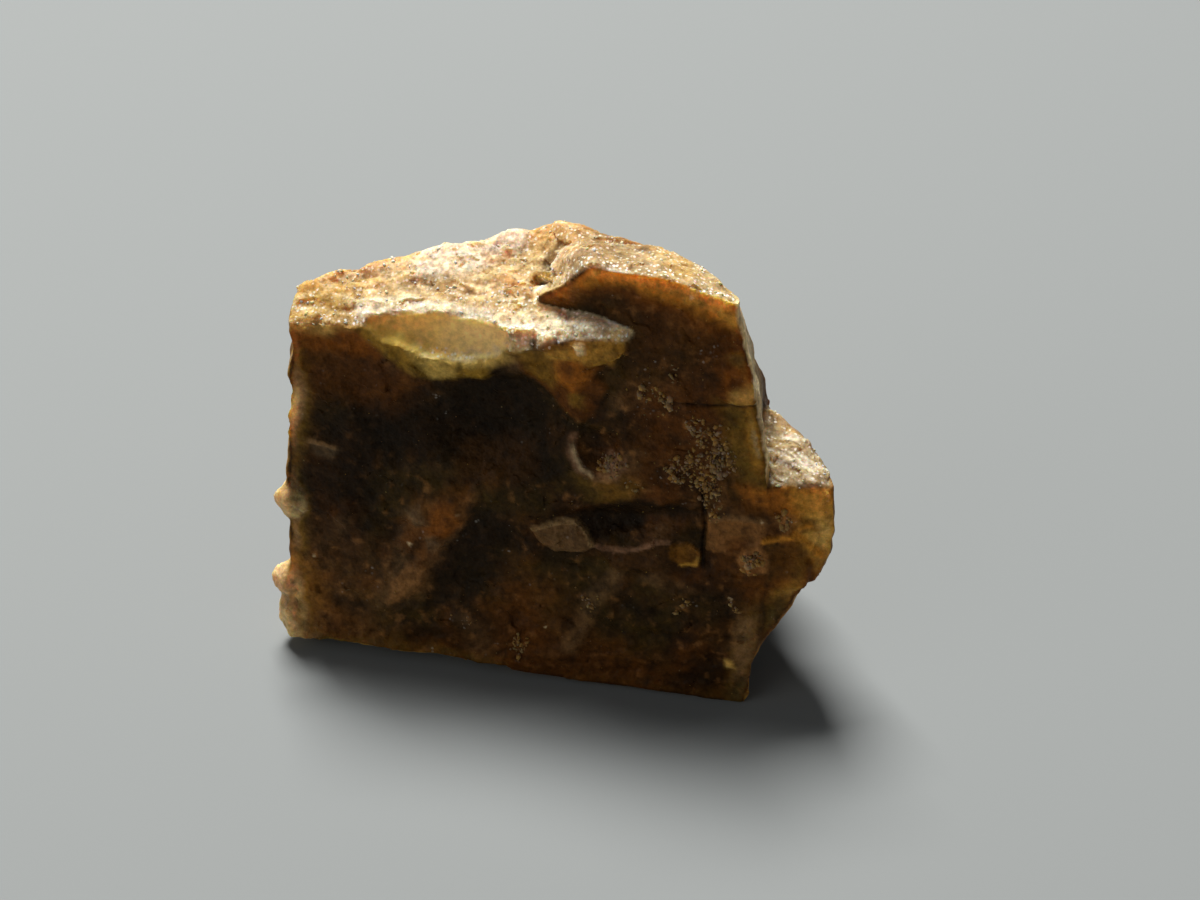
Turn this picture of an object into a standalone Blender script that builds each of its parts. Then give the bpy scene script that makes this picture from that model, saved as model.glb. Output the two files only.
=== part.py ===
"""A loose herderite crystal, about 15.7 mm wide, resting on the flat break it was snapped off at.

The stone is a stack of cleavage blocks that share one set of outer faces. A tall plate stands at the
right, a lower ledge steps down beside it to the left, and a lobe grows out of the right side. Chips,
a groove and a hollow are cut into the front, and small crystals sit proud of it. The whole is then
skinned as one solid, roughened, thinned and cut off flat underneath.

Frame: +Z up, the broad front face towards -Y, origin on the flat base under the middle of the stone.
"""

import math
from typing import NamedTuple

import bmesh
import bpy
from mathutils import Matrix, Vector

MM = 0.001

# Driving dimensions, in millimetres
FRONT_LEAN = math.tan(math.radians(7.0))   # the front face leans back as it rises
FRONT_FOOT = -3.6                          # where the front face would meet the ground
BLANK = 44.0                               # the cube that each block is cut from
SKIN_VOXEL = 0.26                          # grain of the skin drawn over the joined blocks
LUMP_SIZE, LUMP_HEIGHT = 2.6, 0.34         # broad unevenness of the broken faces
CHIP_SIZE, CHIP_HEIGHT = 1.1, 0.20         # small chipped cells on all faces
TRIANGLES_KEPT = 0.34                      # share of the skin's triangles after thinning
GROUND_SLAB = 6.0                          # thickness of the slab that cuts the base flat


class Facet(NamedTuple):
    """A flat break: one point on it, and the way it faces."""

    point: tuple
    facing: tuple


class Oval(NamedTuple):
    """An egg-shaped lump or hollow: its middle, its three radii, and its tilt in the front face."""

    middle: tuple
    radii: tuple
    tilt: float = 0.0


def front_y(z):
    """Y of the front face at height z."""
    return FRONT_FOOT + FRONT_LEAN * z


# Faces that every block of the main stone shares
OUTER = [
    Facet((0.0, FRONT_FOOT, 0.0), (0.0, -1.0, FRONT_LEAN)),       # front
    Facet((-7.3, -3.0, 5.0), (-1.0, -0.12, 0.04)),                # left
    Facet((-6.8, -1.1, 10.8), (-0.66, 0.36, 0.66)),               # upper left corner
    Facet((4.68, -2.1, 12.0), (1.0, 0.14, 0.19)),                 # right, upper part
    Facet((5.45, -3.6, 0.0), (1.0, 0.14, -0.13)),                 # right, foot
    Facet((-3.0, 0.05, 11.4), (-0.31, 0.87, 0.5)),                # upper back, left
    Facet((0.7, 0.0, 12.5), (0.26, 0.87, 0.5)),                   # upper back, right
    Facet((3.1, -0.5, 12.4), (0.79, 0.8, 0.5)),                   # upper back, right corner
    Facet((0.0, 2.7, 8.6), (0.05, 0.97, 0.24)),                   # lower back
    Facet((-6.1, 2.0, 5.0), (-0.72, 0.69, 0.12)),                 # back left corner
    Facet((5.0, 2.4, 4.0), (0.65, 0.75, 0.05)),                   # back right corner
    Facet((0.0, 4.2, 1.4), (0.0, 0.75, -0.66)),                   # back foot
    Facet((5.3, FRONT_FOOT, 0.0), (-0.023, -0.309, -0.95)),       # front foot, lifted to the left
    Facet((0.0, 0.0, -1.0), (0.0, 0.0, -1.0)),                    # below the ground, cut off later
]
LEDGE = [Facet((-4.0, -2.35, 10.3), (-0.08, -0.58, 1.0))]
PLATE = [
    Facet((1.1, -2.06, 12.6), (0.02, 0.09, 1.0)),                 # top
    Facet((2.6, -2.07, 12.54), (0.27, 0.1, 1.0)),                 # top, right end
    Facet((-0.75, -1.53, 11.03), (-1.15, -0.57, 1.0)),            # slope down to the ledge
    Facet((0.88, -2.18, 12.61), (-0.276, -0.955, -0.11)),         # riser, overhanging a little
]
LOBE = [
    Facet((5.5, -2.85, 5.5), (0.15, -0.98, 0.07)),                # front
    Facet((5.7, -2.77, 6.87), (0.09, -0.22, 1.0)),                # top
    Facet((7.88, -2.3, 5.8), (1.0, 0.12, 0.02)),                  # right
    Facet((7.35, -1.7, 6.5), (0.88, 0.48, 0.0)),                  # right back corner
    Facet((6.5, -0.7, 7.0), (0.62, 0.78, 0.05)),                  # back
    Facet((7.5, -2.8, 4.4), (0.9, -0.05, -0.44)),                 # right, lower part
    Facet((7.0, -3.0, 3.55), (0.45, -0.05, -0.9)),                # underside
    Facet((4.07, -2.9, 4.0), (-1.0, 0.0, 0.0)),                   # low step up from the front
]
LOBE_ROOT = [
    Facet((0.0, FRONT_FOOT + 0.12, 0.0), (0.0, -1.0, FRONT_LEAN)),  # front, just behind the stone's
    Facet((6.3, -3.0, 2.8), (0.855, 0.1, -0.52)),                 # flank under the lobe
    Facet((6.9, -3.0, 3.9), (1.0, 0.1, 0.0)),                     # right
    Facet((5.0, 0.2, 3.5), (0.3, 0.95, 0.0)),                     # back
    Facet((5.0, 0.0, 4.6), (0.0, 0.0, 1.0)),                      # top, inside the lobe
    Facet((4.2, 0.0, 4.0), (-1.0, 0.0, 0.0)),                     # buried in the stone
    Facet((0.0, 0.0, -1.0), (0.0, 0.0, -1.0)),                    # below the ground, cut off later
]

# Wedges broken out: two leave a step across the back, one a gap under the front's left foot
BREAKS = {
    "high_step": [
        Facet((-3.0, 1.75, 7.5), (-0.22, -0.92, -0.3)),           # riser
        Facet((-2.0, 3.0, 6.4), (0.16, 0.2, -1.0)),               # tread
        Facet((0.6, 2.5, 8.0), (0.8, -1.0, 0.25)),                # end
    ],
    "low_step": [
        Facet((2.5, 3.05, 2.6), (0.2, -0.97, 0.12)),              # riser
        Facet((2.5, 3.5, 3.9), (-0.2, 0.15, 1.0)),                # overhang
        Facet((-0.6, 3.5, 2.5), (-1.0, -0.4, -0.3)),              # end
    ],
    "foot_gap": [
        Facet((-4.0, -3.4, 0.36), (0.02, 0.22, 1.0)),             # ceiling
        Facet((-1.2, -3.0, 0.2), (1.0, 0.3, 0.1)),                # end
    ],
}

LUMPS = {
    "knob": Oval((0.9, front_y(10.5) + 0.25, 10.5), (1.25, 0.6, 0.5)),
    "upper_bead": Oval((-3.15, front_y(4.7) + 0.1, 4.7), (0.85, 0.32, 0.45), 50.0),
    "lower_bead": Oval((-4.1, front_y(2.8) + 0.1, 2.8), (0.8, 0.28, 0.45), 50.0),
    "leaf": Oval((0.28, front_y(4.62) + 0.06, 4.62), (0.95, 0.22, 0.33), -14.0),
    "amber_bead": Oval((3.65, front_y(4.45) + 0.05, 4.45), (0.42, 0.28, 0.33)),
    "left_bead_high": Oval((-7.35, -2.65, 4.6), (0.5, 0.45, 0.42), 25.0),
    "left_bead_middle": Oval((-7.55, -2.7, 2.05), (0.48, 0.45, 0.46)),
    "left_bead_low": Oval((-7.45, -2.7, 0.95), (0.45, 0.5, 0.72)),
}
HOLLOWS = {
    "scoop": Oval((-3.35, front_y(10.7) - 0.05, 10.75), (1.9, 0.52, 1.15), 3.0),
    "dark_hollow": Oval((-1.4, front_y(8.1) - 3.6, 8.1), (4.6, 3.95, 3.6), 15.0),
    "groove": Oval((2.0, front_y(5.25) - 0.3, 5.25), (2.6, 0.55, 0.5), 10.0),
    "moon_chip": Oval((1.0, front_y(7.3) - 0.2, 7.3), (0.75, 0.55, 0.85)),
    "crevice": Oval((-0.55, -1.0, 11.45), (0.6, 0.5, 0.2), 35.0),
    "back_chip": Oval((2.7, 3.75, 8.6), (2.5, 1.7, 1.9), 30.0),
    "back_corner_chip": Oval((-5.7, 4.75, 3.4), (3.3, 1.9, 2.6), -20.0),
    "left_chip": Oval((-8.6, 0.4, 7.4), (1.75, 2.6, 2.2)),
}


def clear_scene():
    """Remove every object that the scene starts with."""
    for thing in list(bpy.data.objects):
        bpy.data.objects.remove(thing, do_unlink=True)


def make_collection(name):
    """A new collection under the scene."""
    collection = bpy.data.collections.new(name)
    bpy.context.scene.collection.children.link(collection)
    return collection


def make_object(name, shape, collection):
    """Turn a bmesh, whose sizes are in millimetres, into an object in metres."""
    bmesh.ops.scale(shape, vec=(MM, MM, MM), verts=shape.verts)
    bmesh.ops.recalc_face_normals(shape, faces=shape.faces)
    mesh = bpy.data.meshes.new(name)
    shape.to_mesh(mesh)
    shape.free()
    thing = bpy.data.objects.new(name, mesh)
    collection.objects.link(thing)
    return thing


def block(name, facets, collection):
    """Cut a cube down by flat breaks, and close the face that each break leaves."""
    shape = bmesh.new()
    bmesh.ops.create_cube(shape, size=BLANK)
    for facet in facets:
        everything = shape.verts[:] + shape.edges[:] + shape.faces[:]
        cut = bmesh.ops.bisect_plane(
            shape, geom=everything, dist=1e-4, plane_co=Vector(facet.point),
            plane_no=Vector(facet.facing).normalized(), clear_outer=True)
        rim = [part for part in cut["geom_cut"] if isinstance(part, bmesh.types.BMEdge)]
        if rim:
            bmesh.ops.contextual_create(shape, geom=rim)
    return make_object(name, shape, collection)


def oval(name, size, collection):
    """A sphere drawn out to three radii and tilted about the front-to-back axis."""
    shape = bmesh.new()
    bmesh.ops.create_uvsphere(shape, u_segments=28, v_segments=16, radius=1.0)
    turn = Matrix.Rotation(-math.radians(size.tilt), 4, "Y")
    place = Matrix.Translation(size.middle) @ turn @ Matrix.Diagonal((*size.radii, 1.0))
    bmesh.ops.transform(shape, matrix=place, verts=shape.verts)
    return make_object(name, shape, collection)


def combine(stone, tool, operation):
    """Join a tool shape to the stone, or cut it away."""
    tool.hide_render = True
    tool.display_type = "WIRE"
    modifier = stone.modifiers.new(f"{operation.lower()}_{tool.name}", "BOOLEAN")
    modifier.operation = operation
    modifier.object = tool


def roughen(stone, name, kind, cell, height):
    """Push the skin in and out along its normals by a noise of the given cell size."""
    noise = bpy.data.textures.new(name, kind)
    noise.noise_scale = cell * MM
    push = stone.modifiers.new(name, "DISPLACE")
    push.texture = noise
    push.texture_coords = "LOCAL"
    push.mid_level = 0.5
    push.strength = height * MM


def finish_skin(stone, cutters):
    """Draw one skin over the joined blocks, roughen and thin it, and cut the base flat."""
    skin = stone.modifiers.new("skin", "REMESH")
    skin.mode = "VOXEL"
    skin.voxel_size = SKIN_VOXEL * MM
    roughen(stone, "broad_lumps", "CLOUDS", LUMP_SIZE, LUMP_HEIGHT)
    roughen(stone, "small_chips", "VORONOI", CHIP_SIZE, CHIP_HEIGHT)
    thin = stone.modifiers.new("thin", "DECIMATE")
    thin.ratio = TRIANGLES_KEPT
    thin.use_collapse_triangulate = True
    slab = bmesh.new()
    bmesh.ops.create_cube(slab, size=1.0)
    bmesh.ops.scale(slab, vec=(BLANK, BLANK, GROUND_SLAB), verts=slab.verts)
    bmesh.ops.translate(slab, vec=(0.0, 0.0, -GROUND_SLAB / 2), verts=slab.verts)
    combine(stone, make_object("ground_slab", slab, cutters), "DIFFERENCE")


def crystal_material():
    """Brown translucent stone with a dull to glassy lustre."""
    material = bpy.data.materials.new("brown_herderite")
    material.use_nodes = True
    shader = material.node_tree.nodes["Principled BSDF"]
    shader.inputs["Base Color"].default_value = (0.26, 0.15, 0.06, 1.0)
    shader.inputs["Roughness"].default_value = 0.42
    shader.inputs["Metallic"].default_value = 0.0
    return material


def build_crystal():
    """Build the stone from its blocks, lumps and hollows."""
    crystal = make_collection("herderite_crystal")
    cutters = make_collection("cutters")
    stone = block("herderite_crystal", OUTER + LEDGE, crystal)
    combine(stone, block("plate", OUTER + PLATE, cutters), "UNION")
    combine(stone, block("lobe", LOBE, cutters), "UNION")
    combine(stone, block("lobe_root", LOBE_ROOT, cutters), "UNION")
    for name, facets in BREAKS.items():
        combine(stone, block(name, facets, cutters), "DIFFERENCE")
    for name, size in LUMPS.items():
        combine(stone, oval(name, size, cutters), "UNION")
    for name, size in HOLLOWS.items():
        combine(stone, oval(name, size, cutters), "DIFFERENCE")
    finish_skin(stone, cutters)
    stone.data.materials.append(crystal_material())
    return stone


def main():
    """Empty the scene and model the crystal."""
    clear_scene()
    build_crystal()


main()
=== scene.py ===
"""The looks of a loose herderite crystal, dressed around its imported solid.

One skin stands for the whole stone: its broken faces, ledges, chips and grown beads, with the grain of
each. Crumbs, sugar-like grains and flakes lie on it as pieces of their own. Sizes are in millimetres
until a mesh is made, +Z is up, and the broad front face looks towards -Y.
"""

import logging
import math
from dataclasses import dataclass, field
from enum import Enum
from itertools import combinations

import bpy
import numpy as np
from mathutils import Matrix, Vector


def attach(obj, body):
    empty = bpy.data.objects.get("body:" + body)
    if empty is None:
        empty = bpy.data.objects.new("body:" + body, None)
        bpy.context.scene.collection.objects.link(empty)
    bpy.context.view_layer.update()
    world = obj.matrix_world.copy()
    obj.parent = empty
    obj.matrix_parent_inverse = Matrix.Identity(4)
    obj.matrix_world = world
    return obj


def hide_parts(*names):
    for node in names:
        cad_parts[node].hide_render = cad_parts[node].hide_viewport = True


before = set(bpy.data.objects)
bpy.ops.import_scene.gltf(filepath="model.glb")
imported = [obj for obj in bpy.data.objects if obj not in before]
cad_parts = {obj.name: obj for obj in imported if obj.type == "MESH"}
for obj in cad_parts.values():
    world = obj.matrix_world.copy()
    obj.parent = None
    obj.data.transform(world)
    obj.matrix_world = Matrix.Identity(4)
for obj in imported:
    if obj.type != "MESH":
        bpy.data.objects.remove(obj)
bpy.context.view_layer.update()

Array = np.ndarray
Point = tuple[float, float, float]
Colour = tuple[float, float, float]
Rgba = tuple[float, float, float, float]
Heap = tuple[float, float, float, float]    # a round heap on a face: its two places, radius and strength

log = logging.getLogger("herderite")

MM = 0.001
FAR = 1e9               # further than anything on the stone
TINY = 1e-9             # keeps a length or a sum from being nought
STONE_NODE = "herderite_crystal"
BODY = "root"
HOME = "home"

# The axes, as columns of an array of points
X, Y, Z = 0, 1, 2

# The front face leans back as it rises from its foot
FRONT_LEAN = math.tan(math.radians(7.0))
FRONT_FOOT = -3.6
FRONT_FACING = (0.0, -1.0, FRONT_LEAN)


def front_y(z: float) -> float:
    """Y of the plain front face at height z."""
    return FRONT_FOOT + FRONT_LEAN * z


# ---------------------------------------------------------------------------------------------
# Noise and small maths, on whole arrays of points
# ---------------------------------------------------------------------------------------------


def unit(vector: Point) -> Array:
    """The vector at length one."""
    long = np.asarray(vector, float)
    return long / np.linalg.norm(long)


def ramp(low: float, high: float, values: Array) -> Array:
    """A smooth step from 0 at low to 1 at high; falls instead where high is below low.

    Formula: t t (3 - 2 t), with t the share of the way from low to high, held to 0..1.

    Args:
        low: where the step is 0.
        high: where it is 1.
        values: the numbers to step.

    Returns:
        One number in 0..1 for each value.
    """
    t = np.clip((values - low) / (high - low), 0.0, 1.0)
    return t * t * (3.0 - 2.0 * t)


PRIMES = (73856093, 19349663, 83492791)
MOST_BITS = 0xFFFFFF


def lattice_random(cells: Array, seed: int) -> Array:
    """A repeatable whole number of 24 bits for each whole-number cell.

    Formula: the cell's x, y and z times three large primes, mixed by exclusive-or and shifts.

    Args:
        cells: whole-number places.
        seed: which draw.

    Returns:
        One whole number for each cell.
    """
    x, y, z = (cells[..., axis].astype(np.int64) for axis in range(3))
    bits = (x * PRIMES[X]) ^ (y * PRIMES[Y]) ^ (z * PRIMES[Z]) ^ np.int64(seed * 40503 + 12289)
    bits = ((bits ^ (bits >> 13)) * 1274126177) & 0x7FFFFFFF
    bits = ((bits ^ (bits >> 15)) * 668265263) & 0x7FFFFFFF
    return (bits ^ (bits >> 12)) & MOST_BITS


def random_vector(bits: Array) -> Array:
    """Three numbers in -1..1 from each 24-bit number, eight bits for each."""
    parts = [((bits >> shift) & 255) / 127.5 - 1.0 for shift in (0, 8, 16)]
    return np.stack(parts, -1)


def smooth_noise(points: Array, cell: float | Point, seed: int) -> Array:
    """Gradient noise, about -1..1.

    Formula: at each corner of the cell the dot of a random gradient with the way from the corner,
    blended over the cell by a fifth-power fade.

    Args:
        points: places, in mm.
        cell: size of a cell, one number or one for each axis.
        seed: which noise.

    Returns:
        One value for each point.
    """
    scaled = points / np.asarray(cell, float)
    base = np.floor(scaled).astype(np.int64)
    local = scaled - base
    fade = local ** 3 * (local * (local * 6.0 - 15.0) + 10.0)
    total = np.zeros(len(points))
    for corner in np.ndindex(2, 2, 2):
        step = np.array(corner)
        pull = random_vector(lattice_random(base + step, seed))
        weight = np.prod(np.where(step == 1, fade, 1.0 - fade), axis=-1)
        total += weight * np.einsum("ij,ij->i", pull, local - step)
    return total * 1.1


def cloud(points: Array, cell: float | Point, seed: int, octaves: int = 3) -> Array:
    """Noise summed over octaves, each half as large and half as strong as the last.

    Args:
        points: places, in mm.
        cell: size of the largest cell, one number or one for each axis.
        seed: which cloud.
        octaves: how many noises are summed.

    Returns:
        One value for each point, about -1.5..1.5.
    """
    total = np.zeros(len(points))
    size = np.asarray(cell, float)
    for octave in range(octaves):
        total += smooth_noise(points, size / 2 ** octave, seed + octave) / 2 ** octave
    return total


@dataclass
class Grains:
    """Where points lie among scattered grains: the nearest grain's facts."""

    gap: Array          # how much further the second nearest is, 0 on a boundary
    tilt: Array         # height of the nearest grain's own tilted flat
    chance: Array       # a number in 0..1 that the grain owns


def grains(points: Array, cell: float | Point, seed: int) -> Grains:
    """Cells around scattered middles, each with its own tilted flat.

    Formula: one middle at a random place in every cell; the nearest two are kept, and the tilt is the
    dot of a random vector of the nearest with the way from its middle.

    Args:
        points: places, in mm.
        cell: size of a grain, one number or one for each axis.
        seed: which scatter.

    Returns:
        The facts of the nearest grain at each point.
    """
    scaled = points / np.asarray(cell, float)
    base = np.floor(scaled).astype(np.int64)
    count = len(points)
    first, second = np.full(count, FAR), np.full(count, FAR)
    tilt, chance = np.zeros(count), np.zeros(count)
    for corner in np.ndindex(3, 3, 3):
        cell_at = base + np.array(corner) - 1
        bits = lattice_random(cell_at, seed)
        away = scaled - (cell_at + 0.5 + 0.42 * random_vector(bits))
        distance = np.sqrt(np.einsum("ij,ij->i", away, away))
        closer = distance < first
        second = np.where(closer, first, np.minimum(second, distance))
        lean = np.einsum("ij,ij->i", random_vector(lattice_random(cell_at, seed + 77)), away)
        tilt = np.where(closer, lean, tilt)
        chance = np.where(closer, bits / MOST_BITS, chance)
        first = np.where(closer, distance, first)
    return Grains(second - first, tilt, chance)


def outline_distance(x: Array, z: Array, outline: tuple[tuple[float, float], ...]) -> Array:
    """Signed distance to a closed outline in the front face, negative inside.

    Formula: the least distance to its edges, with the sign from counting edges crossed.

    Args:
        x: places along the face.
        z: places up the face.
        outline: the corners in turn.

    Returns:
        One distance in mm for each point.
    """
    corners = np.asarray(outline, float)
    least = np.full(len(x), FAR)
    inside = np.zeros(len(x), bool)
    for (ax, az), (bx, bz) in zip(corners, np.roll(corners, -1, axis=0)):
        ex, ez = bx - ax, bz - az
        along = np.clip(((x - ax) * ex + (z - az) * ez) / (ex * ex + ez * ez), 0.0, 1.0)
        least = np.minimum(least, np.hypot(x - ax - along * ex, z - az - along * ez))
        crosses = (az > z) != (bz > z)
        inside ^= crosses & (x < ax + ex * (z - az) / (ez if ez else TINY))
    return np.where(inside, -least, least)


def line_distance(x: Array, z: Array, line: tuple[tuple[float, float], ...]) -> Array:
    """Distance to an open line of points in the front face.

    Args:
        x: places along the face.
        z: places up the face.
        line: the corners in turn.

    Returns:
        One distance in mm for each point.
    """
    least = np.full(len(x), FAR)
    for (ax, az), (bx, bz) in zip(line[:-1], line[1:]):
        ex, ez = bx - ax, bz - az
        along = np.clip(((x - ax) * ex + (z - az) * ez) / (ex * ex + ez * ez), 0.0, 1.0)
        least = np.minimum(least, np.hypot(x - ax - along * ex, z - az - along * ez))
    return least


# ---------------------------------------------------------------------------------------------
# The stone's form: blocks between flat breaks, lumps grown on them and hollows chipped out
# ---------------------------------------------------------------------------------------------


@dataclass(frozen=True)
class Facet:
    """A flat break: one point on it, and the way it faces."""

    point: Point
    facing: Point


@dataclass(frozen=True)
class Block:
    """The space behind a set of flat breaks."""

    facets: tuple[Facet, ...]
    rounding: float = 0.055

    def distance(self, points: Array) -> Array:
        """Distance outside the block, negative inside.

        Formula: the smooth largest of the distances to the breaks, k ln(sum exp(d / k)).

        Args:
            points: places, in mm.

        Returns:
            One distance in mm for each point.
        """
        facings = np.stack([unit(facet.facing) for facet in self.facets])
        offsets = np.array([unit(facet.facing) @ np.array(facet.point) for facet in self.facets])
        distances = points @ facings.T - offsets
        most = distances.max(axis=1)
        spread = np.exp((distances - most[:, None]) / self.rounding).sum(axis=1)
        return most + self.rounding * np.log(spread)


@dataclass(frozen=True)
class Oval:
    """An egg-shaped lump or hollow: its middle, three radii, and its tilt in the front face."""

    middle: Point
    radii: Point
    tilt: float = 0.0

    def distance(self, points: Array) -> Array:
        """About the distance outside the egg, negative inside.

        Formula: k (k - 1) / |gradient of k|, with k the length of the way from the middle over the radii.

        Args:
            points: places, in mm.

        Returns:
            One distance in mm for each point.
        """
        turn = math.radians(self.tilt)
        away = points - np.array(self.middle)
        x = away[:, X] * math.cos(turn) + away[:, Z] * math.sin(turn)
        z = away[:, Z] * math.cos(turn) - away[:, X] * math.sin(turn)
        turned = np.stack([x, away[:, Y], z], -1)
        radii = np.array(self.radii)
        k = np.linalg.norm(turned / radii, axis=1)
        slope = np.maximum(np.linalg.norm(turned / radii ** 2, axis=1), 1e-6)
        return k * (k - 1.0) / slope


def join(first: Array, second: Array, softness: float) -> Array:
    """Smooth union of two distance fields: the lesser, rounded over the softness where they meet.

    Args:
        first: one field.
        second: the other field.
        softness: how wide the rounding is, in mm.

    Returns:
        The joined field.
    """
    share = np.clip(0.5 + 0.5 * (second - first) / softness, 0.0, 1.0)
    return second * (1.0 - share) + first * share - softness * share * (1.0 - share)


def cut(body: Array, tool: Array, softness: float) -> Array:
    """Smooth cut of a tool out of a body: the greater of the body and the tool turned inside out."""
    return -join(-body, tool, softness)


OUTER = (
    Facet((0.0, FRONT_FOOT, 0.0), FRONT_FACING),
    Facet((-7.3, -3.0, 5.0), (-1.0, -0.12, 0.04)),
    Facet((-6.8, -1.1, 10.8), (-0.66, 0.36, 0.66)),
    Facet((4.68, -2.1, 12.0), (1.0, 0.14, 0.19)),
    Facet((5.45, -3.6, 0.0), (1.0, 0.14, -0.13)),
    Facet((-3.0, 0.05, 11.4), (-0.31, 0.87, 0.5)),
    Facet((0.7, 0.0, 12.5), (0.26, 0.87, 0.5)),
    Facet((3.1, -0.5, 12.4), (0.79, 0.8, 0.5)),
    Facet((0.0, 2.7, 8.6), (0.05, 0.97, 0.24)),
    Facet((-6.1, 2.0, 5.0), (-0.72, 0.69, 0.12)),
    Facet((5.0, 2.4, 4.0), (0.65, 0.75, 0.05)),
    Facet((0.0, 4.2, 1.4), (0.0, 0.75, -0.66)),
    Facet((5.3, FRONT_FOOT, 0.0), (-0.023, -0.309, -0.95)),
    Facet((0.0, 0.0, -0.5), (0.0, 0.0, -1.0)),
)


@dataclass(frozen=True)
class StoneForm:
    """The stone's solid form, as a distance field."""

    ledge: Block = Block(OUTER + (Facet((-4.0, -2.35, 10.3), (-0.08, -0.58, 1.0)),))
    plate: Block = Block(OUTER + (
        Facet((1.1, -2.06, 12.6), (0.02, 0.09, 1.0)),
        Facet((2.6, -2.07, 12.54), (0.27, 0.1, 1.0)),
        Facet((-0.75, -1.53, 11.03), (-1.15, -0.57, 1.0)),
        Facet((0.88, -2.18, 12.61), (-0.276, -0.955, -0.11)),
    ))
    lobe: Block = Block((
        Facet((6.05, -2.945, 5.5), (0.0, -0.993, 0.122)),
        Facet((6.35, -2.945, 5.5), (0.3, -0.95, 0.1)),
        Facet((5.7, -2.77, 6.87), (0.09, -0.22, 1.0)),
        Facet((7.88, -2.3, 5.8), (1.0, 0.12, 0.02)),
        Facet((7.35, -1.7, 6.5), (0.88, 0.48, 0.0)),
        Facet((6.5, -0.7, 7.0), (0.62, 0.78, 0.05)),
        Facet((7.5, -2.8, 4.4), (0.9, -0.05, -0.44)),
        Facet((7.0, -3.0, 3.55), (0.45, -0.05, -0.9)),
        Facet((4.07, -2.9, 4.0), (-1.0, 0.0, 0.0)),
    ), 0.16)
    lobe_root: Block = Block((
        Facet((0.0, FRONT_FOOT + 0.12, 0.0), FRONT_FACING),
        Facet((6.3, -3.0, 2.8), (0.855, 0.1, -0.52)),
        Facet((6.9, -3.0, 3.9), (1.0, 0.1, 0.0)),
        Facet((5.0, 0.2, 3.5), (0.3, 0.95, 0.0)),
        Facet((5.0, 0.0, 4.6), (0.0, 0.0, 1.0)),
        Facet((4.2, 0.0, 4.0), (-1.0, 0.0, 0.0)),
    ), 0.08)
    high_step: Block = Block((
        Facet((-3.0, 1.75, 7.5), (-0.22, -0.92, -0.3)),
        Facet((-2.0, 3.0, 6.4), (0.16, 0.2, -1.0)),
        Facet((0.6, 2.5, 8.0), (0.8, -1.0, 0.25)),
    ))
    low_step: Block = Block((
        Facet((2.5, 3.05, 2.6), (0.2, -0.97, 0.12)),
        Facet((2.5, 3.5, 3.9), (-0.2, 0.15, 1.0)),
        Facet((-0.6, 3.5, 2.5), (-1.0, -0.4, -0.3)),
    ))
    knob: Oval = Oval((0.9, front_y(10.5) + 0.25, 10.5), (1.25, 0.6, 0.5))
    knob_lumps: tuple[Oval, ...] = (
        Oval((0.15, front_y(10.2) + 0.12, 10.3), (0.55, 0.42, 0.34), -10.0),
        Oval((1.05, front_y(10.2) + 0.08, 10.15), (0.5, 0.4, 0.32), 20.0),
        Oval((1.65, front_y(10.4) + 0.16, 10.4), (0.42, 0.36, 0.3), 40.0),
        Oval((0.5, front_y(9.4) + 0.14, 9.45), (0.6, 0.35, 0.5), -30.0),
    )
    left_beads: tuple[Oval, ...] = (
        Oval((-7.25, -2.8, 4.65), (0.5, 0.42, 0.46), 25.0),
        Oval((-7.45, -2.95, 2.05), (0.48, 0.42, 0.46)),
        Oval((-7.35, -3.1, 0.95), (0.48, 0.48, 0.72)),
        Oval((-7.22, -2.42, 4.3), (0.36, 0.42, 0.3), -20.0),
        Oval((-7.3, -2.55, 1.65), (0.4, 0.42, 0.4), 30.0),
    )
    scoop: Oval = Oval((-3.3, -2.42, 10.42), (2.02, 0.38, 0.86), -5.0)
    scoop_near: float = 0.9          # how far from the niche its rim starts to rise and fall
    scoop_full: float = 0.4          # and where it does so in full
    undercut: Block = Block((
        Facet((-4.0, -3.4, 0.36), (0.02, 0.22, 1.0)),
        Facet((-1.2, -3.0, 0.2), (1.0, 0.3, 0.1)),
    ))
    dark_hollow: Oval = Oval((-1.4, front_y(8.1) - 3.6, 8.1), (4.6, 3.95, 3.6), 15.0)
    groove: Oval = Oval((2.0, front_y(5.25) - 0.3, 5.25), (2.6, 0.55, 0.5), 10.0)
    moon_chip: Oval = Oval((1.15, front_y(7.45) - 0.2, 7.45), (0.85, 0.5, 0.85))
    crevice: Oval = Oval((-0.55, -1.0, 11.42), (0.5, 0.42, 0.13), 35.0)
    back_chips: tuple[Oval, ...] = (
        Oval((2.7, 3.75, 8.6), (2.5, 1.7, 1.9), 30.0),
        Oval((-5.7, 4.75, 3.4), (3.3, 1.9, 2.6), -20.0),
        Oval((-8.6, 0.4, 7.4), (1.75, 2.6, 2.2)),
    )
    soft_plate: float = 0.12         # how wide each join or cut is rounded, from here
    soft_lobe: float = 0.1
    soft_root: float = 0.2
    soft_step: float = 0.08
    soft_knob: float = 0.25
    soft_bead: float = 0.35
    soft_niche: float = 0.08
    soft_slit: float = 0.05
    soft_hollow: float = 0.2

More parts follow.
